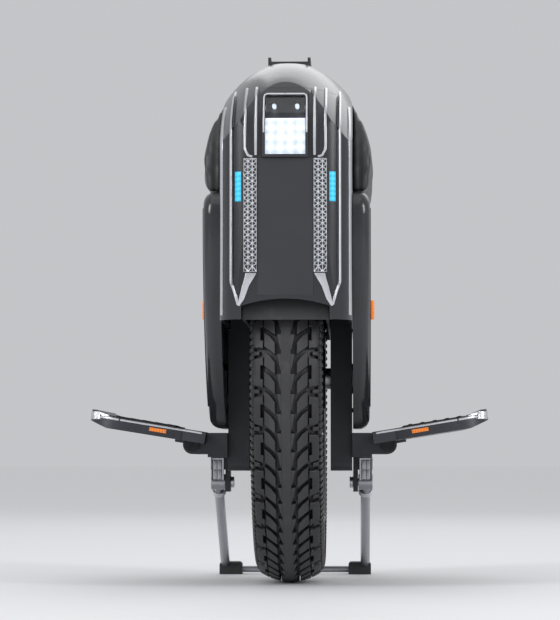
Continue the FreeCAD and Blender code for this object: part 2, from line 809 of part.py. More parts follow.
# Shell outline: a side profile, a front arch, a plan and a dome that share one growth outwards
def hull(name, grow, foot="shell_base - overrun"):
    reach = f"face_reach + ({grow})"
    half = f"shell_half_width + ({grow})"
    brow = f"(brow_radius + ({grow}))"
    brow_centre = "face_reach - brow_radius"
    mid_height = "(shell_base + brow_height) / 2"
    side_half = [
        (f"{reach} - face_lean", foot, f"{reach} - face_lean / 4", mid_height),
        (reach, "brow_height",
         f"{brow_centre} + {brow} * cos(brow_turn / 2)", f"brow_height + {brow} * sin(brow_turn / 2)"),
        (f"{brow_centre} + {brow} * cos(brow_turn)", f"brow_height + {brow} * sin(brow_turn)"),
    ]
    side_path = both_sides(side_half)
    side_path[2] = side_half[2] + ("0", f"crest_height + ({grow})")
    side = prism(name + "_side", "YZ_Plane", side_path, (f"-({half})", half))
    arch = f"(arch_radius + ({grow}))"
    arch_half = [
        (half, foot),
        (half, "arch_height", f"shell_half_width - arch_radius + {arch} * sqrt(0.5)",
         f"arch_height + {arch} * sqrt(0.5)"),
        ("shell_half_width - arch_radius", f"arch_height + {arch}"),
    ]
    front = prism(name + "_arch", "XZ_Plane", both_sides(arch_half),
                  (f"-({reach}) - overrun", f"{reach} + overrun"))
    corner = f"(plan_radius + ({grow}))"
    plan_half = [
        ("shell_half_width - plan_radius", f"-({reach})",
         f"shell_half_width - plan_radius + {corner} * sqrt(0.5)",
         f"-(face_reach - plan_radius + {corner} * sqrt(0.5))"),
        (half, "-(face_reach - plan_radius)"),
        (half, "face_reach - plan_radius", f"shell_half_width - plan_radius + {corner} * sqrt(0.5)",
         f"face_reach - plan_radius + {corner} * sqrt(0.5)"),
        ("shell_half_width - plan_radius", reach),
    ]
    plan = prism(name + "_plan", "XY_Plane", both_sides(plan_half),
                 (foot, f"crest_height + ({grow}) + overrun"))
    dome = doc.addObject("Part::Ellipsoid", name + "_dome")
    bind(dome, {"Radius1": f"dome_rise + ({grow})", "Radius2": f"dome_half_width + ({grow})",
                "Radius3": f"dome_half_length + ({grow})", "Placement.Base.z": "dome_base"})
    below = box(name + "_below", ("-dome_half_width", "dome_half_width"),
                ("-dome_half_length", "dome_half_length"), (f"{foot} - overrun", "dome_base"))
    rounded = overlap(name + "_rounded", overlap(name + "_profile", side, front), plan)
    return overlap(name, rounded, join(name + "_limit", dome, below))


outer_hull = hull("outer_hull", "0", "shell_base")
inner_hull = hull("inner_hull", "-shell_wall")
proud_hull = hull("proud_hull", "trim_rise")
seat_hull = hull("seat_hull", "-trim_depth")
lamp_hull = hull("lamp_hull", "lamp_rise")
lamp_floor_hull = hull("lamp_floor_hull", "lamp_back - lamp_depth")
lamp_back_hull = hull("lamp_back_hull", "-lamp_depth")
lamp_block_hull = hull("lamp_block_hull", "lamp_block_depth + lamp_back - lamp_depth")

far_front = "-face_reach - lamp_rise - overrun"
far_back = "face_reach + lamp_rise + overrun"
front_zone = (far_front, "-face_reach + brow_radius")
rear_zone = ("face_reach - brow_radius", far_back)
shell_zone = ("-shell_half_width - overrun", "shell_half_width + overrun")


def grown(pair, fit="trim_fit"):
    return (f"{pair[0]} - {fit}", f"{pair[1]} + {fit}")


def face_piece(name, face, back, x, y, z):
    """A strip of the shell's skin between two growths, inside a block."""
    return cut(name, overlap(name + "_slice", face, box(name + "_zone", x, y, z)), back)


def recess(name, x, y, z):
    """Room for a trim strip let into the skin."""
    return cut(name, box(name + "_zone", grown(x), y, grown(z)), seat_hull)


# Front trim, lights and their seats
panel_x = ("-panel_half_width", "panel_half_width")
panel_z = ("panel_bottom", "lamp_bottom - trim_fit * 2")
keep("front_panel", face_piece("panel_skin", outer_hull, seat_hull, panel_x, front_zone, panel_z))
grille_x = ("grille_inner", "grille_outer")
grille_z = ("grille_bottom", "grille_top")
grille = face_piece("grille_strip", proud_hull, seat_hull, grille_x, front_zone, grille_z)
keep("grille_strips", group("grille_pair", grille, mirrored("grille_left", grille)))
bar_x = ("bar_inner", "bar_outer")
bar_z = ("bar_bottom", "bar_top")
light_bar = face_piece("light_bar_right", outer_hull, seat_hull, bar_x, front_zone, bar_z)
keep("light_bars", group("light_bar_pair", light_bar, mirrored("light_bar_left", light_bar)))

lamp_x = ("-lamp_half_width", "lamp_half_width")
lamp_z = ("lamp_bottom", "lamp_top")
glass_x = ("-lamp_half_width + lamp_frame", "lamp_half_width - lamp_frame")
glass_z = ("lamp_bottom + lamp_frame", "lamp_top - lamp_frame")
lamp_shell = face_piece("lamp_shell", lamp_hull, lamp_back_hull, lamp_x, front_zone, lamp_z)
lamp_hollow = face_piece("lamp_hollow", box("lamp_hollow_reach", grown(glass_x), front_zone, grown(glass_z)),
                         lamp_floor_hull, grown(glass_x), front_zone, grown(glass_z))
keep("headlight_housing", cut("lamp_bezel", lamp_shell, lamp_hollow))
keep("headlight_lens", face_piece("lamp_glass", proud_hull, outer_hull, glass_x, front_zone, glass_z))
block_z = ("lamp_bottom + lamp_frame", "lamp_block_top")
keep("headlight_lamp", face_piece("lamp_block", lamp_block_hull, lamp_floor_hull,
                                  glass_x, front_zone, block_z))
diode_back = "-face_reach + brow_radius"
diode_front = "-face_reach + lamp_block_depth"
diode_rod = rod("diode_rod", "y", "diode_radius", (diode_front, diode_back), ("diode_spread", "diode_height"))
diode = cut("diode", overlap("diode_slice", diode_rod, lamp_block_hull), lamp_floor_hull)
keep("headlight_diodes", group("diode_pair", diode, mirrored("diode_left", diode)))

tail_x = ("-tail_half_width", "tail_half_width")
tail_z = ("tail_bottom", "tail_top")
keep("tail_light", face_piece("tail_strip", outer_hull, seat_hull, tail_x, rear_zone, tail_z))


def rib(name, track, width, z):
    strip = overlap(name + "_slice", proud_hull,
                    box(name + "_zone", (f"{track} - {width} / 2", f"{track} + {width} / 2"), front_zone, z))
    return cut(name, strip, inner_hull)


ribs = []
for rib_name, rib_place, rib_size, rib_span in (
        ("edge_rib", "rib_track", "rib_width", ("rib_bottom", "cap_base")),
        ("lamp_rib", "lamp_rib_track", "lamp_rib_width", ("lamp_rib_bottom", "cap_base"))):
    right_rib = rib(rib_name, rib_place, rib_size, rib_span)
    ribs.extend([right_rib, mirrored(rib_name + "_left", right_rib)])

wheel_arch = prism("wheel_arch", "XZ_Plane", [
    ("arch_half_width", "shell_base - overrun"),
    ("arch_half_width", "arch_side_height", "0", "arch_crown_height"),
    ("-arch_half_width", "arch_side_height"),
    ("-arch_half_width", "shell_base - overrun"),
], (far_front, far_back))

# Fairings, split from the top cap by a level joint
hanger_gate = box("hanger_gate", ("shell_half_width - shell_wall - overrun", "shell_half_width + overrun"),
                  grown(("-hanger_half_length", "hanger_half_length")),
                  ("shell_base - overrun", "hanger_top + trim_fit"))
shell = cut("shell", outer_hull, inner_hull, hanger_gate, mirrored("hanger_gate_left", hanger_gate))
fairing_z = ("shell_base", "cap_base")
front_half = overlap("front_half", shell, box("front_keep", shell_zone, (far_front, "0"), fairing_z))
rear_half = overlap("rear_half", shell, box("rear_keep", shell_zone, ("0", far_back), fairing_z))
grille_recess = recess("grille_recess", grille_x, front_zone, grille_z)
bar_recess = recess("bar_recess", bar_x, front_zone, bar_z)
keep("front_fairing", cut(
    "front_fitted", join("front_ribbed", front_half, *ribs), wheel_arch, screw_room,
    recess("panel_recess", panel_x, front_zone, panel_z),
    grille_recess, mirrored("grille_recess_left", grille_recess),
    bar_recess, mirrored("bar_recess_left", bar_recess),
    box("lamp_room", grown(lamp_x), front_zone, grown(lamp_z))))

# Charge port in the rear face, with ears for its hinged cap
port_front = "face_reach - port_recess - port_length"
port_face = "face_reach - port_recess"
port_middle = ("0", "port_height")
port_barrel = rod("port_barrel", "y", "port_radius", (port_front, port_face), port_middle)
port_socket = rod("port_socket", "y", "port_socket_radius",
                  (f"{port_face} - port_socket_depth", f"{port_face} + overrun"), port_middle)
keep("charge_port", cut("port_hollow", port_barrel, port_socket))
cap_back = "face_reach + port_cap_gap"
cap_face = "face_reach + lamp_rise"
cap_middle = "face_reach + (port_cap_gap + lamp_rise) / 2"
hinge_line = (cap_middle, "port_hinge_height")
ear = box("port_ear", ("port_ear_inner", "port_pin_half_length"), (f"{cap_face} - port_ear_depth", cap_face),
          ("port_hinge_height - port_ear_half_height", "port_hinge_height + port_ear_half_height"))
port_pin_room = rod("port_pin_room", "x", "port_pin_radius + running_fit",
                    ("-port_pin_half_length - overrun", "port_pin_half_length + overrun"), hinge_line)
keep("rear_fairing", cut(
    "rear_fitted", join("rear_eared", rear_half, ear, mirrored("port_ear_left", ear)), wheel_arch, screw_room,
    recess("tail_recess", tail_x, rear_zone, tail_z), port_pin_room,
    rod("port_room", "y", "port_radius + running_fit", (port_front, far_back), port_middle)))
cap_disc = rod("port_disc", "y", "port_cap_radius", (cap_back, cap_face), port_middle)
cap_tab = box("port_tab", ("-port_tab_half_width", "port_tab_half_width"), (cap_back, cap_face),
              ("port_height", "port_hinge_height + port_pin_radius"))
cap_pin = rod("port_pin", "x", "port_pin_radius",
              ("-port_pin_half_length", "port_pin_half_length"), hinge_line)
keep("charge_cap", join("port_cap", cap_disc, cap_tab, cap_pin))

# Top cap with the saddle under the carry handle
saddle = ("-saddle_half_length", "saddle_half_length")
top_zone = ("cap_base", "crest_height + overrun")
cap_solid = overlap("cap_solid", outer_hull, box("cap_keep", shell_zone, (far_front, far_back), top_zone))
void_z = ("shell_base", top_zone[1])
front_void = overlap("cap_void_front", inner_hull, box("cap_void_front_zone", shell_zone,
                     (far_front, "-handle_half_length - saddle_wall"), void_z))
rear_void = overlap("cap_void_rear", inner_hull, box("cap_void_rear_zone", shell_zone,
                    ("handle_half_length + saddle_wall", far_back), void_z))
slab_bottom = "saddle_floor - saddle_slab"
slab_void = box("slab_void", ("-heat_sink_half_width - trim_fit", "heat_sink_half_width + trim_fit"),
                ("-heat_sink_half_length - trim_fit", "heat_sink_half_length + trim_fit"),
                ("shell_base", slab_bottom))
saddle_room = box("saddle_room", shell_zone, saddle, ("saddle_floor", top_zone[1]))
handle_room = box("handle_room", grown(("-handle_half_width", "handle_half_width")),
                  grown(("-handle_half_length", "handle_half_length")), ("handle_bottom", top_zone[1]))
power_middle = ("0", "-power_button_place")
power_boss = rod("power_boss", "z", "power_recess_radius",
                 ("power_recess_floor - power_boss_height", "power_recess_floor"), power_middle)
power_bore = rod("power_bore", "z", "power_button_radius + running_fit", top_zone, power_middle)
power_recess = rod("power_recess", "z", "power_recess_radius",
                   ("power_recess_floor", top_zone[1]), power_middle)
cap_hollow = cut("cap_hollow", cap_solid, front_void, rear_void, slab_void, saddle_room, handle_room)
keep("top_cap", cut("cap_fitted", join("cap_bossed", cap_hollow, power_boss), power_bore, power_recess))
keep("power_button", rod("power_knob", "z", "power_button_radius",
                         ("power_button_top - power_button_length", "power_button_top"), power_middle))

handle = prism("handle_body", "XZ_Plane", both_sides([
    ("handle_half_width", "handle_bottom"),
    ("handle_half_width", "handle_top"),
    ("handle_half_width - handle_lip", "handle_top"),
    ("handle_half_width - handle_lip", "handle_deck"),
]), ("-handle_half_length", "handle_half_length"))
handle_low = number("handle_bottom")
handle_side = number("handle_half_width")
soften(handle, "handle_round", lambda edge: abs(edge.tangentAt(edge.FirstParameter).y) > 0.5
       and abs(edge.CenterOfMass.z - handle_low) < number("running_fit")
       and abs(abs(edge.CenterOfMass.x) - handle_side) < number("running_fit"))
lift_foot = "handle_bottom - lift_button_drop"
lift_head = f"{lift_foot} + lift_button_length"
lift_room = rod("lift_room", "z", "lift_button_radius + running_fit",
                ("handle_bottom - overrun", f"{lift_head} + button_travel * 2"), ("0", "0"))
keep("carry_handle", cut("handle_bored", handle, lift_room))
keep("lift_button", rod("lift_knob", "z", "lift_button_radius", (lift_foot, lift_head), ("0", "0")))

# Electronics under the saddle, battery packs beside the wheel
sink_bottom = f"{slab_bottom} - heat_sink_height"
sink_x = ("-heat_sink_half_width", "heat_sink_half_width")
sink_y = ("-heat_sink_half_length", "heat_sink_half_length")
fin_rooms = []
for index in range(fin_count):
    place = f"heat_sink_half_length * {2 * index + 1 - fin_count} / {fin_count}"
    fin_rooms.append(box(f"fin_room_{index}", grown(sink_x, "overrun"),
                         (f"{place} - fin_gap / 2", f"{place} + fin_gap / 2"),
                         (f"{slab_bottom} - fin_depth", f"{slab_bottom} + overrun")))
sink_block = box("sink_block", sink_x, sink_y, (sink_bottom, slab_bottom))
keep("heat_sink", cut("sink_finned", sink_block, *fin_rooms))
keep("controller_board", box("board", sink_x, sink_y, (f"{sink_bottom} - board_thickness", sink_bottom)))
battery = box("battery_pack", ("hanger_inner_face", "shell_half_width - shell_wall - trim_fit"),
              ("battery_near", "battery_far"), ("battery_bottom", "battery_top"))
keep("battery_side_packs", group("battery_pair", battery, mirrored("battery_mirror", battery)))
rear_battery_bottom = f"tyre_radius + sqrt(({frame_radius}) ^ 2 - rear_battery_near ^ 2) + trim_fit"
keep("battery_rear_pack", box("rear_battery", ("-rear_battery_half_width", "rear_battery_half_width"),
                              ("rear_battery_near", "rear_battery_far"),
                              (rear_battery_bottom, "rear_battery_top")))

# Lower side panels
panel_path = [
    ("-panel_top_reach", "panel_top", "-panel_mid_reach", "panel_mid_height"),
    ("-panel_foot_reach", "panel_foot"),
    ("panel_foot_reach", "panel_foot", "panel_mid_reach", "panel_mid_height"),
    ("panel_top_reach", "panel_top"),
]
panel = prism("panel_body", "YZ_Plane", panel_path, ("shell_half_width", panel_outer))
soften(panel, "panel_corner", lambda edge: abs(edge.tangentAt(edge.FirstParameter).x) > 0.5)
panel_face = number(panel_outer)
soften(panel, "panel_round", lambda edge: abs(edge.CenterOfMass.x - panel_face) < number("running_fit"))
pocket(panel, "YZ_Plane", [
    ("-panel_hollow_reach", "panel_hollow_bottom"),
    ("panel_hollow_reach", "panel_hollow_bottom"),
    ("panel_hollow_reach", "panel_hollow_top"),
    ("-panel_hollow_reach", "panel_hollow_top"),
], "shell_half_width", "panel_thickness - panel_wall")
nut_room = rod("nut_room", "x", "nut_radius + overrun", (hanger_outer, f"{axle_end} + trim_fit"), axle_line)
bolt_head_end = f"{hanger_outer} + hanger_bolt_head_height + trim_fit"
bolt_head_room = box("bolt_head_room", ("shell_half_width - overrun", bolt_head_end),
                     ("-hanger_half_length", "hanger_half_length"),
                     ("hanger_bolt_low - overrun", "hanger_top"))
marker_zone = (("shell_half_width + panel_thickness - marker_depth", f"{panel_outer} + marker_rise"),
               ("-marker_place - marker_half_length", "-marker_place + marker_half_length"),
               ("marker_height - marker_half_height", "marker_height + marker_half_height"))
marker = box("marker_lens", *marker_zone)
marker_room = box("marker_room", marker_zone[0], grown(marker_zone[1]), grown(marker_zone[2]))
panel_right = cut("panel_fitted", panel, screw_room, nut_room, bolt_head_room, marker_room)
keep("side_panel_right", panel_right)
keep("side_panel_left", mirrored("panel_mirror", panel_right))
keep("side_markers", group("marker_pair", marker, mirrored("marker_left", marker)))

# Upper side pads, a leaf in both views
pad_outer = "shell_half_width + pad_thickness"
pad_front = prism("pad_front_view", "XZ_Plane", [
    ("shell_half_width - pad_root", "pad_bottom"),
    (f"{pad_outer} - pad_tip_inset", "pad_bottom", pad_outer, "pad_bulge_height"),
    ("shell_half_width - pad_root", "pad_top"),
], ("-pad_reach - overrun", "pad_reach + overrun"))
pad_side = prism("pad_side_view", "YZ_Plane", [
    ("-pad_reach", "pad_bottom"),
    ("pad_reach", "pad_bottom", "pad_mid_reach", "pad_mid_height"),
    ("pad_top_reach", "pad_top"),
    ("-pad_top_reach", "pad_top", "-pad_mid_reach", "pad_mid_height"),
], ("shell_half_width - pad_root - overrun", f"{pad_outer} + overrun"))
pad_right = cut("pad_seated", overlap("pad_leaf", pad_front, pad_side), outer_hull)
keep("side_pad_right", pad_right)
keep("side_pad_left", mirrored("pad_mirror", pad_right))

# Pedal brackets on the hangers and the hinge pins
pin_line = ("pedal_pin_place", "pedal_pin_height")
lug_inner = "knuckle_half_length + hinge_gap"
bracket_block = prism("bracket_block", "XZ_Plane", [
    (hanger_outer, "bracket_bottom"),
    ("bracket_reach", "bracket_bottom"),
    ("bracket_reach", "bracket_top"),
    (hanger_outer, "bracket_top"),
], ("-bracket_half_length", "bracket_half_length"))
lug_spans = {"front": ("-bracket_half_length", f"-({lug_inner})"), "rear": (lug_inner, "bracket_half_length")}
lugs = []
for side, span in lug_spans.items():
    lugs.append(rod(f"lug_round_{side}", "y", "knuckle_radius", span, pin_line))
    lugs.append(box(f"lug_arm_{side}", ("bracket_reach - bracket_round", "pedal_pin_place"), span,
                    ("pedal_pin_height - knuckle_radius", "pedal_pin_height + knuckle_radius")))
pin_bore = rod("pin_bore", "y", "pedal_pin_radius + running_fit",
               ("-bracket_half_length - overrun", "bracket_half_length + overrun"), pin_line)
bracket_right = cut("bracket_bored", join("bracket_blank", bracket_block, *lugs), pin_bore)
keep("pedal_bracket_right", bracket_right)
keep("pedal_bracket_left", mirrored("bracket_mirror", bracket_right))
pin_shaft = rod("pin_shaft", "y", "pedal_pin_radius",
                ("-bracket_half_length", "bracket_half_length"), pin_line)
pin_head = rod("pin_head", "y", "pedal_pin_head_radius",
               ("-bracket_half_length - pedal_pin_head_height", "-bracket_half_length"), pin_line)
pedal_pin = join("pedal_pin_right", pin_shaft, pin_head)
keep("pedal_pins", group("pedal_pin_pair", pedal_pin, mirrored("pedal_pin_left", pedal_pin)))


# Pedals, drawn level about their hinge pin and then tilted
def tilted(item):
    turn = FreeCAD.Rotation(y_axis, -number("pedal_tilt"))
    place = FreeCAD.Vector(number("pedal_pin_place"), 0, number("pedal_pin_height"))
    item.Placement = FreeCAD.Placement(place, turn)
    return item


lip_top = "pedal_deck + pedal_lip_rise"
pedal_section = prism("pedal_section", "XZ_Plane", [
    ("pedal_root", "pedal_underside"),
    ("pedal_taper_start", "pedal_underside"),
    ("pedal_length", "pedal_tip_underside"),
    ("pedal_length", lip_top),
    ("pedal_length - pedal_lip_width", lip_top),
    ("pedal_length - pedal_lip_width - pedal_lip_slope", "pedal_deck"),
    ("pedal_root", "pedal_deck"),
], ("-pedal_half_length", "pedal_half_length"))
corner_u = "pedal_length - pedal_corner_radius"
corner_v = "pedal_half_length - pedal_corner_radius"
pedal_plan = prism("pedal_plan", "XY_Plane", [
    ("pedal_root - overrun", "-pedal_root_half_length"),
    (corner_u, "-pedal_half_length",
     f"{corner_u} + pedal_corner_radius * sqrt(0.5)", f"-({corner_v} + pedal_corner_radius * sqrt(0.5))"),
    ("pedal_length", f"-({corner_v})"),
    ("pedal_length", corner_v,
     f"{corner_u} + pedal_corner_radius * sqrt(0.5)", f"{corner_v} + pedal_corner_radius * sqrt(0.5)"),
    (corner_u, "pedal_half_length"),
    ("pedal_root - overrun", "pedal_root_half_length"),
], ("-overrun", f"{lip_top} + overrun"))
knuckle_span = ("-knuckle_half_length", "knuckle_half_length")
knuckle = rod("knuckle", "y", "knuckle_radius", knuckle_span, ("0", "0"))
knuckle_web = box("knuckle_web", ("0", "pedal_root + knuckle_radius"), knuckle_span, ("0", "knuckle_radius"))
knuckle_bore = rod("knuckle_bore", "y", "pedal_pin_radius + running_fit",
                   ("-knuckle_half_length - overrun", "knuckle_half_length + overrun"), ("0", "0"))
wing_x = ("-pedal_wing_reach", "pedal_root + grip_margin")
wing_z = ("pedal_underside", "pedal_deck")
front_wing = box("pedal_wing_front", wing_x,
                 ("-pedal_root_half_length", "-bracket_half_length - pedal_wing_gap"), wing_z)
rear_wing = box("pedal_wing_rear", wing_x,
                ("bracket_half_length + pedal_wing_gap", "pedal_root_half_length"), wing_z)
pedal_blank = join("pedal_blank", overlap("pedal_plate", pedal_section, pedal_plan), knuckle, knuckle_web,
                   front_wing, rear_wing)
edge_zone = overlap("pedal_marker_zone", pedal_plan, box(
    "pedal_marker_box",
    ("pedal_marker_place - pedal_marker_half_width", "pedal_marker_place + pedal_marker_half_width"),
    ("-pedal_half_length", "-pedal_half_length + pedal_corner_radius"),
    ("pedal_marker_bottom", "pedal_marker_top")))
marker_back = box("pedal_marker_back", ("0", "pedal_length"),
                  ("-pedal_root_half_length - pedal_marker_depth", "0"), ("0", lip_top))
front_marker = cut("pedal_marker_front", edge_zone, marker_back)
rear_marker = doc.addObject("Part::Mirroring", "pedal_marker_rear")
rear_marker.Source = front_marker
rear_marker.Normal = y_axis
pedal_markers = group("pedal_marker_level", front_marker, rear_marker)
grip_end = "pedal_length - pedal_lip_width - pedal_lip_slope - grip_margin"
grip = box("grip_sheet", ("pedal_root + grip_margin", grip_end),
           ("-grip_half_length + grip_margin", "grip_half_length - grip_margin"),
           ("pedal_deck", "pedal_deck + grip_thickness"))
pedal_level = cut("pedal_level", pedal_blank, knuckle_bore, pedal_markers)
for label, level in (("pedal", pedal_level), ("pedal_grip", grip), ("pedal_markers", pedal_markers)):
    right = tilted(group(f"{label}_tilted", level))
    keep(f"{label}_right", right)
    keep(f"{label}_left", mirrored(f"{label}_mirror", right))

# Parking stand: brackets and pins on the chassis, legs, collars, feet and cross bar that swing
pivot_y = ("stand_pivot_place - cheek_half_length", "stand_pivot_place + cheek_half_length")
cheek_outer = "stand_track - eye_half_width - cheek_gap"
block_y = ("stand_pivot_place - stand_block_half_length", "stand_pivot_place + stand_block_half_length")
cheek = box("cheek", ("cheek_inner", cheek_outer), pivot_y,
            ("stand_pivot_height - cheek_drop", "bracket_bottom"))
stand_block = box("stand_block", ("cheek_inner", "stand_block_outer"), block_y,
                  ("stand_block_bottom", "bracket_bottom"))
pivot_line = ("stand_pivot_place", "stand_pivot_height")
pivot_bore = rod("pivot_bore", "x", "stand_pin_radius + running_fit",
                 ("cheek_inner - overrun", "stand_block_outer + overrun"), pivot_line)
stand_bracket = cut("stand_bracket_right", join("stand_bracket_blank", cheek, stand_block), pivot_bore)
stand_bracket_left = mirrored("stand_bracket_left", stand_bracket)
keep("stand_brackets", group("stand_bracket_pair", stand_bracket, stand_bracket_left))
stand_pin = join("stand_pin_right", rod("stand_pin_shank", "x", "stand_pin_radius",
                                        ("cheek_inner", "stand_track + eye_half_width"), pivot_line),
                 rod("stand_pin_head", "x", "stand_pin_head_radius",
                     ("cheek_inner - stand_pin_head_height", "cheek_inner"), pivot_line))
keep("stand_pins", group("stand_pin_pair", stand_pin, mirrored("stand_pin_left", stand_pin)))

leg_run = number("stand_foot_place - stand_pivot_place")
leg_fall = number("stand_pivot_height - foot_height / 2")
leg_turn = math.degrees(math.atan2(leg_run, -leg_fall))


def along_leg(name, radius, start, stop):
    """A cylinder on the leg's own line, measured from the pivot."""
    item = doc.addObject("Part::Cylinder", name)
    turn = FreeCAD.Rotation(x_axis, -leg_turn)
    place = FreeCAD.Vector(number("stand_track"), number("stand_pivot_place"), number("stand_pivot_height"))
    item.Radius = number(radius)
    item.Height = stop - start
    item.Placement = FreeCAD.Placement(place + turn.multVec(z_axis) * start, turn)
    return item


leg_length = math.hypot(leg_run, leg_fall)
eye_span = ("stand_track - eye_half_width", "stand_track + eye_half_width")
eye = rod("leg_eye", "x", "eye_radius", eye_span, pivot_line)
leg_blank = join("leg_blank", eye, along_leg("leg_tube", "leg_radius", 0, leg_length))
collar_start = number("collar_start")
collar_stop = number("collar_start + collar_length")
collar = cut("collar_right", along_leg("collar_outside", "collar_radius", collar_start, collar_stop),
             along_leg("collar_inside", "leg_radius", 0, leg_length), eye)
foot_y = ("stand_foot_place - foot_half_length", "stand_foot_place + foot_half_length")
foot = prism("foot_blank", "YZ_Plane", [
    (foot_y[0], "0"),
    (foot_y[1], "0"),
    (foot_y[1], "foot_height"),
    (foot_y[0], "foot_height"),
], ("foot_inner", "foot_outer"))
foot_top = number("foot_height")
soften(foot, "foot_round", lambda edge: abs(edge.CenterOfMass.z - foot_top) < number("running_fit"))
bar_line = ("stand_foot_place", "bar_radius + bar_lift")
bar_half = "foot_inner + foot_half_length"
cross_bar = rod("cross_bar_rod", "x", "bar_radius", (f"-({bar_half})", bar_half), bar_line)
leg_end = box("leg_end", ("foot_inner", "foot_outer"), foot_y, ("0", "foot_height / 2"))
leg_right = cut("leg_bored", leg_blank, pivot_bore, leg_end)
keep("stand_leg_right", leg_right)
keep("stand_leg_left", mirrored("leg_mirror", leg_right))
keep("stand_collars", group("collar_pair", collar, mirrored("collar_left", collar)))
foot_right = cut("foot_fitted", foot, leg_right, cross_bar)
keep("stand_feet", group("foot_pair", foot_right, mirrored("foot_left", foot_right)))
keep("stand_bar", cross_bar)

# Every piece is tested before any is written
doc.recompute()
for item in doc.Objects:
    if "Invalid" in item.State or "Error" in item.State:
        raise ValueError(f"{item.Name} failed: {item.State}")
os.makedirs("parts", exist_ok=True)
for label, item in nodes.items():
    shape = item.Shape
    if shape.isNull() or not shape.isValid() or not shape.Solids:
        raise ValueError(f"{label} has no sound solid")
for label, item in nodes.items():
    item.Shape.exportStep(f"parts/{label}.step")
    print(f"{label}: {len(item.Shape.Solids)} solids, {item.Shape.Volume / 1000:.1f} cm3")
print(f"{len(nodes)} pieces written")
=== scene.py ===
import bpy
import json
import math
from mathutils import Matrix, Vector
from mathutils.bvhtree import BVHTree


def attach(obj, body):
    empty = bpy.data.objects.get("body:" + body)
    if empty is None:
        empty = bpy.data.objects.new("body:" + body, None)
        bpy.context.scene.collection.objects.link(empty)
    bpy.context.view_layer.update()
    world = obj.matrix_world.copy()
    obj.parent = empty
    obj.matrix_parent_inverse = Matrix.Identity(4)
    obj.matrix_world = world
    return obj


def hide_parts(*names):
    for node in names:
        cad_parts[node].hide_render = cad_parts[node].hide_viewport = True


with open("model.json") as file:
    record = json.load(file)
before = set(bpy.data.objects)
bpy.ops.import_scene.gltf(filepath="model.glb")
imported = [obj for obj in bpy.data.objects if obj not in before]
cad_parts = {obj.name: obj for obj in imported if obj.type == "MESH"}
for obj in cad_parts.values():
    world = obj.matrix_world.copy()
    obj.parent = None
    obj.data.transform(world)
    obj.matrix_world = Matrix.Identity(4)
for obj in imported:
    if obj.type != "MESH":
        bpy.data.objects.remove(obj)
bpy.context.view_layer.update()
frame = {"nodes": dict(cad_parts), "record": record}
nodes = frame["nodes"]
mm = 0.001
wheelRadius = 228.6  # millimetres, also the height of the axle
trimSeat = -0.6  # how far most trim sits into the face that carries it, millimetres
print("frame loaded:", len(nodes), "nodes")


# shader maths written as plain expressions
class Val:
    def __init__(self, look, socket):
        self.look = look
        self.socket = socket

    def calc(self, operation, first, second):
        return self.look.node("ShaderNodeMath", {"operation": operation}, {0: first, 1: second})

    def __add__(self, other):
        return self.calc("ADD", self, other)

    def __radd__(self, other):
        return self.calc("ADD", other, self)

    def __sub__(self, other):
        return self.calc("SUBTRACT", self, other)

    def __rsub__(self, other):
        return self.calc("SUBTRACT", other, self)

    def __mul__(self, other):
        return self.calc("MULTIPLY", self, other)

    def __rmul__(self, other):
        return self.calc("MULTIPLY", other, self)

    def __truediv__(self, other):
        return self.calc("DIVIDE", self, other)

    def __rtruediv__(self, other):
        return self.calc("DIVIDE", other, self)

    def __pow__(self, other):
        return self.calc("POWER", self, other)

    def __rpow__(self, other):
        return self.calc("POWER", other, self)


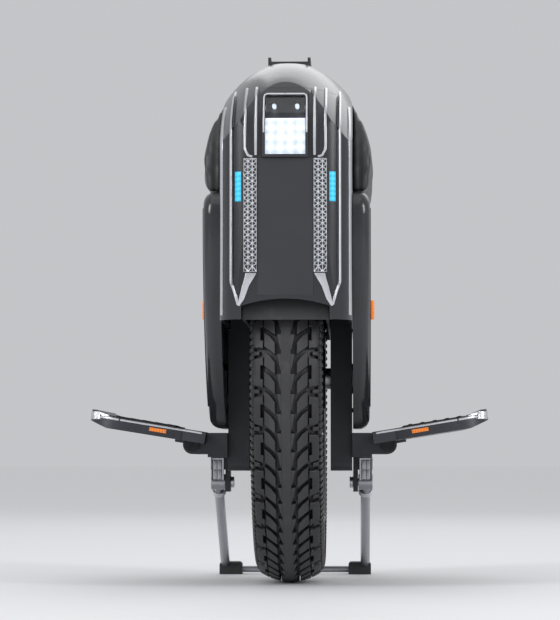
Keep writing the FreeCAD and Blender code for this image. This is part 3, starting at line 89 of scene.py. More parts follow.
class Look:
    def __init__(self, name):
        self.material = bpy.data.materials.new(name)
        self.material.use_nodes = True
        self.tree = self.material.node_tree
        self.shader = self.tree.nodes["Principled BSDF"]
        self.spot = self.node("ShaderNodeTexCoord", out="Object")

    def feed(self, socket, value):
        if isinstance(value, Val):
            self.tree.links.new(value.socket, socket)
        elif socket.type == "RGBA" and len(value) == 3:
            socket.default_value = (*value, 1)
        else:
            socket.default_value = value

    def node(self, kind, settings=None, sockets=None, out=0):
        made = self.tree.nodes.new(kind)
        for key, value in (settings or {}).items():
            setattr(made, key, value)
        for key, value in (sockets or {}).items():
            self.feed(made.inputs[key], value)
        return Val(self, made.outputs[out])

    def put(self, **values):
        # baseColor feeds the shader's Base Color, and so on
        for key, value in values.items():
            words = "".join(" " + c if c.isupper() else c for c in key).strip()
            words = words[0].upper() + words[1:]
            self.feed(self.shader.inputs[words.replace("I O R", "IOR")], value)

    def coords(self, stretch=(1, 1, 1)):
        return self.node("ShaderNodeMapping", {}, {"Vector": self.spot, "Scale": stretch})

    def axes(self):
        return [self.node("ShaderNodeSeparateXYZ", {}, {0: self.spot}, axis) for axis in "XYZ"]

    def lines(self, along, density):
        return self.node("ShaderNodeTexNoise", {"noise_dimensions": "1D"}, {"W": along * density, "Scale": 1.0,
                                                                            "Detail": 2.0})

    def rings(self, density):
        # distance from the axle, and fine rings round it
        y, z = self.axes()[1:]
        up = z - wheelRadius * mm
        far = (y * y + up * up) ** 0.5
        return far, self.lines(far, density)

    def noise(self, scale, detail=3.0, rough=0.55, stretch=(1, 1, 1)):
        return self.node("ShaderNodeTexNoise", {}, {"Vector": self.coords(stretch), "Scale": scale, "Detail": detail,
                                                    "Roughness": rough})

    def cells(self, scale, feature="F1"):
        return self.node("ShaderNodeTexVoronoi", {"feature": feature}, {"Vector": self.coords(), "Scale": scale})

    def steps(self, value, low, high, to=(0, 1)):
        return self.node("ShaderNodeMapRange", {"interpolation_type": "SMOOTHSTEP"},
                         {"Value": value, "From Min": low, "From Max": high, "To Min": to[0], "To Max": to[1]})

    def mix(self, share, first, second):
        return self.node("ShaderNodeMix", {"data_type": "RGBA"}, {0: share, 6: first, 7: second}, 2)

    def softNormal(self, radius):
        return self.node("ShaderNodeBevel", {"samples": 4}, {"Radius": radius})

    def wear(self, radius, low=0.04, high=0.30):
        # 1 along the edges of the shape, 0 on its faces
        flat = self.node("ShaderNodeNewGeometry", out="Normal")
        same = self.node("ShaderNodeVectorMath", {"operation": "DOT_PRODUCT"}, {0: self.softNormal(radius), 1: flat},
                         "Value")
        return self.steps(1 - same, low, high)

    def relief(self, height, strength, depth, edge=0.0006):
        return self.node("ShaderNodeBump", {}, {"Height": height, "Strength": strength, "Distance": depth,
                                                "Normal": self.softNormal(edge)})


# camera at the photograph's place: low, in front, a little to the machine's left
cameraPlan = {"place": (0.073, -3.0, 0.136), "aim": (-0.0125, 0.0, 0.3065), "lens": 154.2, "sensor": 36.0,
              "farthest": 200}
bpy.ops.object.select_all(action="DESELECT")
bpy.ops.object.camera_add(location=cameraPlan["place"])
camera = bpy.context.object
aimLine = Vector(cameraPlan["aim"]) - Vector(cameraPlan["place"])
camera.rotation_euler = aimLine.to_track_quat("-Z", "Y").to_euler()
camera.data.sensor_fit = "VERTICAL"
camera.data.sensor_height = cameraPlan["sensor"]
camera.data.lens = cameraPlan["lens"]
camera.data.clip_end = cameraPlan["farthest"]
bpy.context.scene.camera = camera

studio = {"floorColour": (0.60, 0.61, 0.63), "floorShade": 0.97, "floorRough": 0.65, "floorRadius": 60.0,
          "backColour": (0.552, 0.560, 0.578), "skyLight": 0.92, "lampAim": (0, 0, 0.3)}
lampPlan = {
    "keyLight": {"place": (-2.5, -2.0, 1.9), "power": 48, "size": (0.6, 1.8)},
    "fillLight": {"place": (2.6, -1.8, 1.8), "power": 42, "size": (0.6, 1.8)},
    "rimLight": {"place": (0.7, 2.6, 2.2), "power": 16, "size": (3.0, 1.6)},
    "topLight": {"place": (-0.3, -0.8, 3.0), "power": 10, "size": (2.4, 2.4)},
}
for lampName, plan in lampPlan.items():
    bpy.ops.object.light_add(type="AREA", location=plan["place"])
    lamp = bpy.context.object
    lamp.name = lampName
    lamp.data.energy = plan["power"]
    lamp.data.shape = "RECTANGLE"
    lamp.data.size, lamp.data.size_y = plan["size"]
    lamp.rotation_euler = (Vector(studio["lampAim"]) - lamp.location).to_track_quat("-Z", "Y").to_euler()

# white light from all round, and a plain grey back where it is seen or mirrored
scene = bpy.context.scene
scene.view_settings.view_transform = "Standard"
world = bpy.data.worlds.new("studioRoom")
world.use_nodes = True
scene.world = world
sky = world.node_tree.nodes
skyLinks = world.node_tree.links
lightBack = sky["Background"]
lightBack.inputs["Color"].default_value = (1, 1, 1, 1)
lightBack.inputs["Strength"].default_value = studio["skyLight"]
seenBack = sky.new("ShaderNodeBackground")
seenBack.inputs["Color"].default_value = (*studio["backColour"], 1)
rayKind = sky.new("ShaderNodeLightPath")
seenRays = rayKind.outputs["Is Camera Ray"]
for rayName in ("Is Glossy Ray", "Is Transmission Ray"):
    either = sky.new("ShaderNodeMath")
    either.operation = "MAXIMUM"
    skyLinks.new(seenRays, either.inputs[0])
    skyLinks.new(rayKind.outputs[rayName], either.inputs[1])
    seenRays = either.outputs[0]
skyMix = sky.new("ShaderNodeMixShader")
skyLinks.new(seenRays, skyMix.inputs[0])
skyLinks.new(lightBack.outputs[0], skyMix.inputs[1])
skyLinks.new(seenBack.outputs[0], skyMix.inputs[2])
skyLinks.new(skyMix.outputs[0], sky["World Output"].inputs["Surface"])

bpy.ops.mesh.primitive_circle_add(vertices=96, radius=studio["floorRadius"], fill_type="NGON")
floor = bpy.context.object
floor.name = "studioFloor"
floorLook = Look("paleFloor")
floorShade = [c * studio["floorShade"] for c in studio["floorColour"]]
floorLook.put(baseColor=floorLook.mix(floorLook.noise(3.0, 4.0), studio["floorColour"], floorShade),
              roughness=studio["floorRough"])
floor.data.materials.append(floorLook.material)
print("camera, lights and floor ready")


# finishes for the CAD nodes
def glossShell():
    plan = {"colour": (0.010, 0.011, 0.014), "haze": (0.022, 0.024, 0.030), "worn": (0.075, 0.078, 0.086),
            "rough": (0.24, 0.38)}
    look = Look("glossShell")
    drift = look.noise(7.0, 4.0)
    peel = look.noise(420.0, 2.0)
    dust = look.steps(look.noise(900.0, 2.0, 0.7), 0.63, 0.72)
    rub = look.wear(0.0015) * look.steps(look.noise(55.0, 5.0, 0.7), 0.35, 0.65)
    tone = look.mix(drift * 0.6 + dust * 0.4, plan["colour"], plan["haze"])
    look.put(baseColor=look.mix(rub * 0.5, tone, plan["worn"]),
             roughness=look.steps(drift * 0.8 + dust * 0.3 + rub * 0.4, 0.25, 0.9, plan["rough"]),
             normal=look.relief(peel, 0.05, 0.0002, 0.0012), coatWeight=0.35, coatRoughness=0.16)
    return look.material


def satinShell():
    plan = {"colour": (0.020, 0.021, 0.024), "light": (0.034, 0.035, 0.040), "worn": (0.085, 0.087, 0.095),
            "rough": (0.36, 0.52)}
    look = Look("satinShell")
    grain = look.noise(1500.0, 2.0)
    drift = look.noise(14.0, 3.0)
    rub = look.wear(0.0012) * look.steps(look.noise(70.0, 5.0, 0.7), 0.35, 0.65)
    tone = look.mix(grain * 0.5 + drift * 0.5, plan["colour"], plan["light"])
    look.put(baseColor=look.mix(rub * 0.5, tone, plan["worn"]),
             roughness=look.steps(drift, 0.3, 0.7, plan["rough"]),
             normal=look.relief(grain, 0.22, 0.0002, 0.0008))
    return look.material


def innerPlastic():
    plan = {"colour": (0.026, 0.027, 0.031), "dust": (0.070, 0.066, 0.060)}
    look = Look("innerPlastic")
    pits = look.cells(650.0)
    splash = look.steps(look.noise(30.0, 6.0, 0.7), 0.56, 0.74)
    look.put(baseColor=look.mix(splash * 0.5, plan["colour"], plan["dust"]), roughness=0.55 + splash * 0.25,
             normal=look.relief(pits, 0.3, 0.0003))
    return look.material


def castAlloy():
    plan = {"coat": (0.030, 0.032, 0.037), "bright": (0.052, 0.055, 0.062), "bare": (0.30, 0.31, 0.33)}
    look = Look("castAlloy")
    peel = look.noise(700.0, 3.0)
    drift = look.noise(20.0, 4.0)
    rub = look.steps(look.noise(130.0, 6.0, 0.75), 0.60, 0.70)
    bare = look.wear(0.0012) * look.steps(look.noise(90.0, 5.0, 0.7), 0.40, 0.60)
    tone = look.mix(drift * 0.7 + rub * 0.3, plan["coat"], plan["bright"])
    look.put(baseColor=look.mix(bare * 0.7, tone, plan["bare"]), metallic=0.35 + bare * 0.5,
             roughness=0.34 + drift * 0.16 - rub * 0.08, normal=look.relief(peel, 0.25, 0.0003, 0.0008))
    return look.material


def turnedAlloy(name, dark, light, rough):
    look = Look(name)
    lathe = look.rings(2400.0)[1]
    drift = look.noise(16.0, 4.0)
    look.put(baseColor=look.mix(lathe * 0.6 + drift * 0.4, dark, light), metallic=1.0,
             roughness=rough + lathe * 0.14, normal=look.relief(lathe, 0.12, 0.0001, 0.0007))
    return look.material


def brushedSteel(name, dark, light, along, rough):
    look = Look(name)
    stretch = [6.0 if axis == along else 260.0 for axis in "xyz"]
    brush = look.noise(4.0, 3.0, 0.6, stretch)
    smear = look.noise(45.0, 4.0)
    look.put(baseColor=look.mix(brush * 0.6 + smear * 0.4, dark, light), metallic=1.0,
             roughness=rough + brush * 0.12 + smear * 0.10, normal=look.relief(brush, 0.10, 0.0001, 0.0007))
    return look.material


def blackOxide():
    plan = {"dark": (0.012, 0.012, 0.014), "light": (0.05, 0.05, 0.055)}
    look = Look("blackOxide")
    drift = look.noise(220.0, 4.0)
    look.put(baseColor=look.mix(drift, plan["dark"], plan["light"]), metallic=0.8, roughness=0.30 + drift * 0.25,
             normal=look.relief(drift, 0.15, 0.0002, 0.0004))
    return look.material


def rubberLook(name, dark, light, grainScale, depth):
    look = Look(name)
    grain = look.noise(grainScale, 4.0, 0.6)
    scuff = look.steps(look.noise(60.0, 6.0, 0.7), 0.52, 0.74)
    look.put(baseColor=look.mix(grain * 0.5 + scuff * 0.5, dark, light), roughness=0.62 + scuff * 0.22 - grain * 0.1,
             normal=look.relief(grain, 0.35, depth, 0.0007))
    return look.material


def tyreRubber():
    plan = {"dark": (0.011, 0.011, 0.012), "dusty": (0.050, 0.050, 0.053), "wornFrom": 0.2215, "wornTo": 0.2275}
    look = Look("tyreRubber")
    far, mould = look.rings(1600.0)
    grain = look.noise(800.0, 3.0)
    dust = look.steps(look.noise(45.0, 6.0, 0.7), 0.48, 0.72)
    crown = look.steps(far, plan["wornFrom"], plan["wornTo"])  # the lug tops are a little worn and greyer
    look.put(baseColor=look.mix(dust * 0.45 + crown * 0.40 + grain * 0.15, plan["dark"], plan["dusty"]),
             roughness=0.44 + dust * 0.20 + crown * 0.06,
             normal=look.relief(grain * 0.7 + mould * 0.3, 0.3, 0.0002, 0.0007))
    return look.material


def padSkin():
    plan = {"dark": (0.014, 0.014, 0.016), "light": (0.036, 0.037, 0.041)}
    look = Look("padSkin")
    grain = look.steps(look.cells(520.0, "DISTANCE_TO_EDGE"), 0.0, 0.22)
    pores = look.noise(1500.0, 2.0)
    drift = look.noise(24.0, 4.0)
    look.put(baseColor=look.mix(drift * 0.7 + pores * 0.3, plan["dark"], plan["light"]), roughness=0.34 + drift * 0.14,
             normal=look.relief(grain + pores * 0.3, 0.25, 0.0003))
    return look.material


def motorSteel():
    plan = {"dark": (0.16, 0.16, 0.17), "light": (0.40, 0.40, 0.42)}
    look = Look("motorSteel")
    sheets = look.lines(look.axes()[0], 3000.0)
    look.put(baseColor=look.mix(sheets, plan["dark"], plan["light"]), metallic=1.0, roughness=0.32 + sheets * 0.2,
             normal=look.relief(sheets, 0.2, 0.0001))
    return look.material


def lampLook(name, colour, glow, power, pitch):
    # small prisms on a square grid
    look = Look(name)
    x, y, z = look.axes()
    half = pitch / 2
    across, up = (look.node("ShaderNodeMath", {"operation": "PINGPONG"}, {0: axis, 1: half}) / half for axis in (x, z))
    prism = across * 0.5 + up * 0.5
    drift = look.noise(260.0, 2.0)
    core = look.steps(prism + drift * 0.2, 0.25, 0.85, (0.25, 1))
    look.put(baseColor=look.mix(core, [c * 0.6 for c in colour], colour), roughness=0.18 + prism * 0.15,
             emissionColor=look.mix(core, [c * 0.55 for c in glow], glow), emissionStrength=power,
             normal=look.relief(prism, 0.25, 0.0006, 0.0004), coatWeight=0.25)
    return look.material


def clearLens():
    plan = {"cool": (0.90, 0.94, 1.0), "clear": (0.97, 0.98, 1.0)}
    look = Look("clearLens")
    haze = look.noise(60.0, 3.0)
    look.put(baseColor=look.mix(haze, plan["cool"], plan["clear"]), roughness=0.02 + haze * 0.04,
             normal=look.relief(haze, 0.03, 0.0002, 0.0006), transmissionWeight=1.0, iOR=1.45)
    return look.material


def wrappedPack():
    plan = {"dark": (0.03, 0.09, 0.22), "light": (0.07, 0.18, 0.38)}
    look = Look("wrappedPack")
    fold = look.noise(40.0, 4.0, 0.6, (1, 3, 1))
    look.put(baseColor=look.mix(fold, plan["dark"], plan["light"]), roughness=0.28 + fold * 0.2,
             normal=look.relief(fold, 0.3, 0.0006))
    return look.material


def circuitBoard():
    plan = {"track": (0.42, 0.30, 0.10), "board": (0.015, 0.10, 0.045)}
    look = Look("circuitBoard")
    tracks = look.steps(look.cells(220.0, "DISTANCE_TO_EDGE"), 0.02, 0.06)
    look.put(baseColor=look.mix(tracks, plan["track"], plan["board"]), roughness=0.35 + tracks * 0.15,
             normal=look.relief(tracks, 0.2, 0.0002))
    return look.material


def gritSheet():
    plan = {"dark": (0.012, 0.012, 0.013), "worn": (0.055, 0.055, 0.058)}
    look = Look("gritSheet")
    grit = look.cells(1100.0)
    coarse = look.noise(350.0, 3.0)
    worn = look.steps(look.noise(34.0, 5.0, 0.65), 0.50, 0.72)
    look.put(baseColor=look.mix(grit * 0.6 + worn * 0.4, plan["dark"], plan["worn"]), roughness=0.72 + coarse * 0.2,
             normal=look.relief(grit + coarse * 0.5, 0.8, 0.0005))
    return look.material


slotLooks = {
    "tyre_rubber": tyreRubber(),
    "tube_rubber": rubberLook("tubeRubber", (0.012, 0.012, 0.012), (0.034, 0.034, 0.034), 500.0, 0.0002),
    "cast_alloy": castAlloy(),
    "rim_alloy": turnedAlloy("rimAlloy", (0.07, 0.075, 0.085), (0.17, 0.18, 0.20), 0.28),
    "motor_steel": motorSteel(),
    "bare_steel": brushedSteel("bareSteel", (0.56, 0.57, 0.60), (0.84, 0.85, 0.88), "x", 0.24),
    "dark_steel": blackOxide(),
    "gloss_shell": glossShell(),
    "satin_shell": satinShell(),
    "inner_plastic": innerPlastic(),
    "pad_foam": padSkin(),
    "grille_metal": brushedSteel("grilleMetal", (0.74, 0.76, 0.79), (0.94, 0.95, 0.97), "z", 0.26),
    "lens_clear": clearLens(),
    "lamp_white": lampLook("lampWhite", (0.92, 0.95, 1.0), (0.80, 0.90, 1.0), 1.05, 0.0104),
    "lamp_cyan": lampLook("lampCyan", (0.02, 0.30, 0.48), (0.02, 0.50, 0.80), 0.80, 0.0052),
    "lamp_red": lampLook("lampRed", (0.26, 0.004, 0.004), (0.42, 0.004, 0.004), 0.25, 0.0040),
    "lamp_amber": lampLook("lampAmber", (0.85, 0.22, 0.02), (0.95, 0.25, 0.03), 0.30, 0.0030),
    "pack_case": wrappedPack(),
    "board_green": circuitBoard(),
    "pedal_alloy": brushedSteel("pedalAlloy", (0.045, 0.047, 0.054), (0.115, 0.120, 0.132), "y", 0.30),
    "grip_sheet": gritSheet(),
    "stand_steel": brushedSteel("standSteel", (0.30, 0.31, 0.33), (0.56, 0.57, 0.60), "z", 0.26),
    "foot_rubber": rubberLook("footRubber", (0.014, 0.014, 0.015), (0.050, 0.050, 0.052), 700.0, 0.0003),
}
for row in frame["record"]["subparts"]:
    nodes[row["node"]].material_slots[0].material = slotLooks[row["material_slot"]]
nodes["pedal_pins"].material_slots[0].material = slotLooks["dark_steel"]  # blacked, as the hinge looks in the photo
print("finishes on the CAD nodes:", len(slotLooks))


# tools for the pieces made here
def startPiece(name):
    piece = bpy.context.object
    piece.name = name
    return piece


def clearPick():
    bpy.ops.object.select_all(action="DESELECT")


def pickOnly(piece):
    clearPick()
    piece.select_set(True)
    bpy.context.view_layer.objects.active = piece


def pickParts(kind, parts, test):
    bpy.ops.object.mode_set(mode="EDIT")
    bpy.ops.mesh.select_mode(type=kind)
    bpy.ops.mesh.select_all(action="DESELECT")
    bpy.ops.object.mode_set(mode="OBJECT")
    for part in parts:
        part.select = test(part)
    bpy.ops.object.mode_set(mode="EDIT")


def pickFaces(piece, test):
    pickParts("FACE", piece.data.polygons, test)


def pickTops(piece):
    pickFaces(piece, lambda face: face.normal.z > 0.9)


def addModifier(piece, kind, **settings):
    bpy.context.view_layer.objects.active = piece
    modifier = piece.modifiers.new(kind.lower(), kind)
    for key, value in settings.items():
        setattr(modifier, key, value)
    bpy.ops.object.modifier_apply(modifier=modifier.name)


def roundEdges(piece, width, segments=2):
    addModifier(piece, "BEVEL", width=width, segments=segments, limit_method="ANGLE")


def repeat(piece, count, step):
    addModifier(piece, "ARRAY", count=count, use_relative_offset=False, use_constant_offset=True,
                constant_offset_displace=step)


def block(name, low, high):
    # corners in millimetres
    clearPick()
    middle = [(a + b) / 2 * mm for a, b in zip(low, high)]
    size = [(b - a) * mm for a, b in zip(low, high)]
    bpy.ops.mesh.primitive_cube_add(size=1, location=middle, scale=size)
    bpy.ops.object.transform_apply(location=True, rotation=True, scale=True)
    return startPiece(name)


def plate(name, across, up, gaps=(), seat=0):
    # flat grid through the given lines, with cells left out inside the gaps
    clearPick()
    bpy.ops.mesh.primitive_grid_add(x_subdivisions=len(across) - 1, y_subdivisions=len(up) - 1, size=2)
    piece = startPiece(name)
    for point in piece.data.vertices:
        column = round((point.co.x + 1) / 2 * (len(across) - 1))
        row = round((point.co.y + 1) / 2 * (len(up) - 1))
        point.co = (across[column], up[row], seat)
    if gaps:
        pickFaces(piece, lambda face: any(a < face.center.x < b and c < face.center.y < d for a, b, c, d in gaps))
        bpy.ops.mesh.delete(type="FACE")
        bpy.ops.object.mode_set(mode="OBJECT")
    return piece


def raisePlate(piece, height):
    bpy.ops.object.mode_set(mode="EDIT")
    bpy.ops.mesh.select_all(action="SELECT")
    bpy.ops.mesh.extrude_region_move(TRANSFORM_OT_translate={"value": (0, 0, height)})
    bpy.ops.mesh.select_all(action="SELECT")
    bpy.ops.mesh.normals_make_consistent(inside=False)
    bpy.ops.object.mode_set(mode="OBJECT")


def shrinkTop(piece, share, middle=(0, 0, 0)):
    pickTops(piece)
    bpy.ops.transform.resize(value=(*share, 1), center_override=middle)
    bpy.ops.object.mode_set(mode="OBJECT")


def faceOut(piece):
    pickOnly(piece)
    bpy.ops.object.mode_set(mode="EDIT")
    bpy.ops.mesh.select_all(action="SELECT")
    bpy.ops.mesh.remove_doubles(threshold=1e-6)
    bpy.ops.mesh.normals_make_consistent(inside=False)
    bpy.ops.object.mode_set(mode="OBJECT")


def joined(name, pieces):
    clearPick()
    for piece in pieces:
        piece.select_set(True)
    bpy.context.view_layer.objects.active = pieces[0]
    if len(pieces) > 1:
        bpy.ops.object.join()
    return startPiece(name)


def mirrorTwin(piece, name):
    pickOnly(piece)
    bpy.ops.object.duplicate(linked=False)
    copy = startPiece(name)
    copy.scale.x = -1
    bpy.ops.object.transform_apply(location=False, rotation=False, scale=True)
    faceOut(copy)
    return copy


def bothSides(name, piece):
    return joined(name, [piece, mirrorTwin(piece, name + "Left")])


def settle(piece, body, slotName, stands=(), angle=35, ownLooks=False):
    pickOnly(piece)
    bpy.ops.object.shade_smooth_by_angle(angle=math.radians(angle))
    if not ownLooks:
        piece.data.materials.clear()
        piece.data.materials.append(slotLooks[slotName])
    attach(piece, body)
    if stands:
        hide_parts(*stands)


def arcAt(x, start, via, stop):
    # height of the circle through three points, on the branch of the middle one
    (ax, ay), (bx, by), (cx, cy) = start, via, stop
    d = 2 * (ax * (by - cy) + bx * (cy - ay) + cx * (ay - by))
    sa, sb, sc = ax * ax + ay * ay, bx * bx + by * by, cx * cx + cy * cy
    ux = (sa * (by - cy) + sb * (cy - ay) + sc * (ay - by)) / d
    uy = (sa * (cx - bx) + sb * (ax - cx) + sc * (bx - ax)) / d
    radius = math.hypot(ax - ux, ay - uy)
    rise = math.sqrt(max(radius ** 2 - (x - ux) ** 2, 0))
    return uy + rise if by > uy else uy - rise


def roundAxle(x, far, turn):
    # place at a distance from the axle, turned from the front upwards
    return Vector((x, -far * math.cos(turn), wheelRadius + far * math.sin(turn))) * mm


# tyre: spun casing with a smooth rib, then a flat strip of lugs wrapped on it, in millimetres
tyrePlan = {
    "pitches": 34, "steps": 144, "lugBevel": 0.55, "sink": 8.0, "bed": 0.05,
    "casing": [(0, 228.6), (4.4, 228.55), (5.0, 228.0), (5.2, 222.4), (11.0, 221.6), (20.0, 218.8), (28.0, 214.6),
               (33.2, 209.8), (36.4, 205.2), (37.4, 200.8), (36.3, 195.5), (33.2, 190.6), (29.6, 187.3),
               (27.8, 186.4), (27.8, 177.6), (23.0, 177.6), (23.2, 187.0), (30.4, 194.0), (32.4, 203.0),
               (28.0, 209.4), (15.0, 214.2), (0, 215.8)],
    "crown": ((9.6, 227.8), (21.8, 224.13), (34.0, 217.6)), "crownFlat": 7.0, "crownDrop": 0.1,
    "side": ((217.6, 34.0), (203.0, 39.0), (186.5, 27.8)),
    "tooth": {"across": (4.8, 9.4), "half": 8.6, "slant": 3.6},
    "slantLug": {"across": (12.0, 17.4, 22.6), "ends": (-4.6, 4.2),
                 "lean": (((-0.6, -8.6), (-0.4, -4.4)), ((0, -3.6), (0, 3.4)), ((0.4, 0.8), (0.4, 7.4)))},
    "shoulder": {"across": (23.8, 26.8, 30.8, 34.3), "along": (-15.4, -7.4, 7.4, 15.4),
                 "innerLean": (0.4, 1.8), "outerLean": (-0.6, -1.2)},
    "pocketStep": {"across": (27.6, 34.0), "half": 2.4, "drop": 2.6},
    "sideBar": {"count": 170, "far": (204.0, 209.0, 214.5), "half": 2.6, "taper": 1.2, "depth": 3.0, "bevel": 0.4,
                "seat": 0.25},
}
samePlace = 0.01  # how near a lug's corner has to be to its stated place


def tyreCasing():
    clearPick()
    bpy.ops.mesh.primitive_plane_add(size=2 * mm)
    piece = startPiece("tyreCasing")
    bpy.ops.object.mode_set(mode="EDIT")
    bpy.ops.mesh.select_all(action="SELECT")
    bpy.ops.mesh.merge(type="CENTER")
    outline = tyrePlan["casing"] + [(-x, r) for x, r in reversed(tyrePlan["casing"][1:-1])]
    outline.append(outline[0])
    spot = Vector((0, 0, 0))
    for index, (x, r) in enumerate(outline):
        target = Vector((x, 0, wheelRadius + r)) * mm
        if index == 0:
            bpy.ops.transform.translate(value=target - spot)
        else:
            bpy.ops.mesh.extrude_vertices_move(TRANSFORM_OT_translate={"value": target - spot})
        spot = target
    bpy.ops.mesh.select_all(action="SELECT")
    bpy.ops.mesh.spin(steps=tyrePlan["steps"], angle=2 * math.pi, center=(0, 0, wheelRadius * mm), axis=(1, 0, 0))
    bpy.ops.mesh.select_all(action="SELECT")
    bpy.ops.mesh.remove_doubles(threshold=1e-5)
    bpy.ops.mesh.normals_make_consistent(inside=False)
    bpy.ops.object.mode_set(mode="OBJECT")
    return piece


def leanPoints(piece, moves):
    # shifts the points that stand at a given place of the flat lug
    for (x, y), shift in moves.items():
        pickParts("VERT", piece.data.vertices,
                  lambda point: abs(point.co.x - x) < samePlace and abs(point.co.y - y) < samePlace)
        bpy.ops.transform.translate(value=(*shift, 0))
        bpy.ops.object.mode_set(mode="OBJECT")


def treadStrip():
    # one pitch of the right half: across, along, height
    pitch = 2 * math.pi * wheelRadius / tyrePlan["pitches"]
    half = pitch / 2
    tooth, slant, shoulder, step = (tyrePlan[key] for key in ("tooth", "slantLug", "shoulder", "pocketStep"))
    lugs = []
    for index in range(2):
        base = index * half - half / 2
        lug = plate("ribTooth", tooth["across"], [base - tooth["half"], base + tooth["half"]])
        leanPoints(lug, {(tooth["across"][1], base - tooth["half"]): (-tooth["slant"], 0)})
        lugs.append(lug)
        ends = [base + end for end in slant["ends"]]
        lug = plate("slantLug", slant["across"], ends)
        leanPoints(lug, {(x, end): shift for x, shifts in zip(slant["across"], slant["lean"])
                         for end, shift in zip(ends, shifts)})
        lugs.append(lug)
    inner, wall, outer = (shoulder["across"][i] for i in (0, 1, -1))
    notch, end = shoulder["along"][-2:]
    lug = plate("shoulderBlock", shoulder["across"], shoulder["along"], [(inner, wall, -notch, notch)])
    leanPoints(lug, {(x, sign * end): (lean, sign * along) for x, (lean, along) in
                     ((inner, shoulder["innerLean"]), (outer, shoulder["outerLean"])) for sign in (-1, 1)})
    lugs.append(lug)
    lugs.append(plate("pocketStep", step["across"], [half - step["half"], half + step["half"]], seat=-step["drop"]))
    strip = joined("treadStrip", lugs)
    raisePlate(strip, -tyrePlan["sink"])
    roundEdges(strip, tyrePlan["lugBevel"], 1)
    addModifier(strip, "MIRROR", use_axis=(True, False, False), use_clip=False, use_mirror_merge=False)
    repeat(strip, tyrePlan["pitches"], (0, pitch, 0))
    for point in strip.data.vertices:
        x, along, height = point.co
        crown = wheelRadius
        if abs(x) > tyrePlan["crownFlat"]:
            arc = arcAt(max(abs(x), tyrePlan["crown"][0][0]), *tyrePlan["crown"])
            crown = min(wheelRadius - tyrePlan["crownDrop"], arc)
        point.co = roundAxle(x, crown + height - tyrePlan["bed"], along / wheelRadius)
    faceOut(strip)
    return strip


def sideLugs():
    # short radial bars on both sidewalls
    plan = tyrePlan["sideBar"]
    bar = plate("sideBar", plan["far"], [-plan["half"], plan["half"]])
    leanPoints(bar, {(plan["far"][0], -plan["half"]): (0, plan["taper"]),
                     (plan["far"][0], plan["half"]): (0, -plan["taper"])})
    raisePlate(bar, -plan["depth"])
    roundEdges(bar, plan["bevel"], 1)
    repeat(bar, plan["count"], (0, 2 * math.pi * wheelRadius / plan["count"], 0))
    for point in bar.data.vertices:
        far, along, height = point.co
        point.co = roundAxle(arcAt(far, *tyrePlan["side"]) - plan["seat"] + height, far, along / wheelRadius)
    faceOut(bar)
    return [bar, mirrorTwin(bar, "sideBarLeft")]


tyre = joined("treadedTyre", [tyreCasing(), treadStrip(), *sideLugs()])
settle(tyre, "wheel", "tyre_rubber", ["tyre"], 30)
print("tyre:", len(tyre.data.polygons), "faces")

# the front face of the shell: how far forward it stands at a place across and up
facePlan = {"reach": 252.0, "lean": 8.0, "foot": 283.0, "brow": 462.0, "browRadius": 103.0, "flat": 30.0,
            "corner": 40.0}


def faceAt(x, z):
    reach, foot, brow = facePlan["reach"], facePlan["foot"], facePlan["brow"]
    if z <= brow:
        lean = facePlan["lean"]
        side = arcAt(z, (foot, reach - lean), ((foot + brow) / 2, reach - lean / 4), (brow, reach))
    else:
        radius = facePlan["browRadius"]
        side = reach - radius + math.sqrt(max(radius ** 2 - (z - brow) ** 2, 0))
    over = max(abs(x) - facePlan["flat"], 0)
    plan = reach - facePlan["corner"] + math.sqrt(max(facePlan["corner"] ** 2 - over ** 2, 0))
    return -min(side, plan)


def onFace(piece):
    # flat across, up, height in millimetres laid on the front face
    for point in piece.data.vertices:
        x, z, height = point.co
        point.co = Vector((x, faceAt(x, z) - height, z)) * mm
    faceOut(piece)


# knurled silver strips: a grid split into triangles, each sunk between raised ridges, with painted shade on the pocket
# floors
knurlPlan = {"inner": 29.7, "outer": 43.3, "columns": 3, "bottom": 332.2, "top": 450.3, "rows": 20, "ridge": 0.62,
             "pocket": 1.3, "zigzag": 0.5, "proud": 1.7, "seat": -1.8}
cellWidth = (knurlPlan["outer"] - knurlPlan["inner"]) / knurlPlan["columns"]
cellHeight = (knurlPlan["top"] - knurlPlan["bottom"]) / knurlPlan["rows"]
knurl = plate("grilleRight", [knurlPlan["inner"] + cellWidth * i for i in range(knurlPlan["columns"] + 1)],
              [knurlPlan["bottom"] + cellHeight * i for i in range(knurlPlan["rows"] + 1)], seat=knurlPlan["seat"])
for point in knurl.data.vertices:
    column = round((point.co.x - knurlPlan["inner"]) / cellWidth)
    row = round((point.co.y - knurlPlan["bottom"]) / cellHeight)
    if column % 2 == 0 and 0 < row < knurlPlan["rows"]:
        point.co.y += cellHeight * knurlPlan["zigzag"]
raisePlate(knurl, knurlPlan["proud"] - knurlPlan["seat"])
pickTops(knurl)
bpy.ops.mesh.quads_convert_to_tris(quad_method="SHORTEST_DIAGONAL")
bpy.ops.mesh.inset(use_individual=True, thickness=knurlPlan["ridge"], depth=-knurlPlan["pocket"])
bpy.ops.object.mode_set(mode="OBJECT")
# the second slot paints shade into the sunk pockets
for slotName in ("grille_metal", "satin_shell"):
    knurl.data.materials.append(slotLooks[slotName])
knurl.active_material_index = 1  # painted shade: the dark shell finish on the pocket floors instead of the strip's metal
bpy.ops.object.mode_set(mode="EDIT")
bpy.ops.object.material_slot_assign()
bpy.ops.object.mode_set(mode="OBJECT")
onFace(knurl)
settle(bothSides("grilleKnurl", knurl), "chassis", "grille_metal", ["grille_strips"], 20, True)

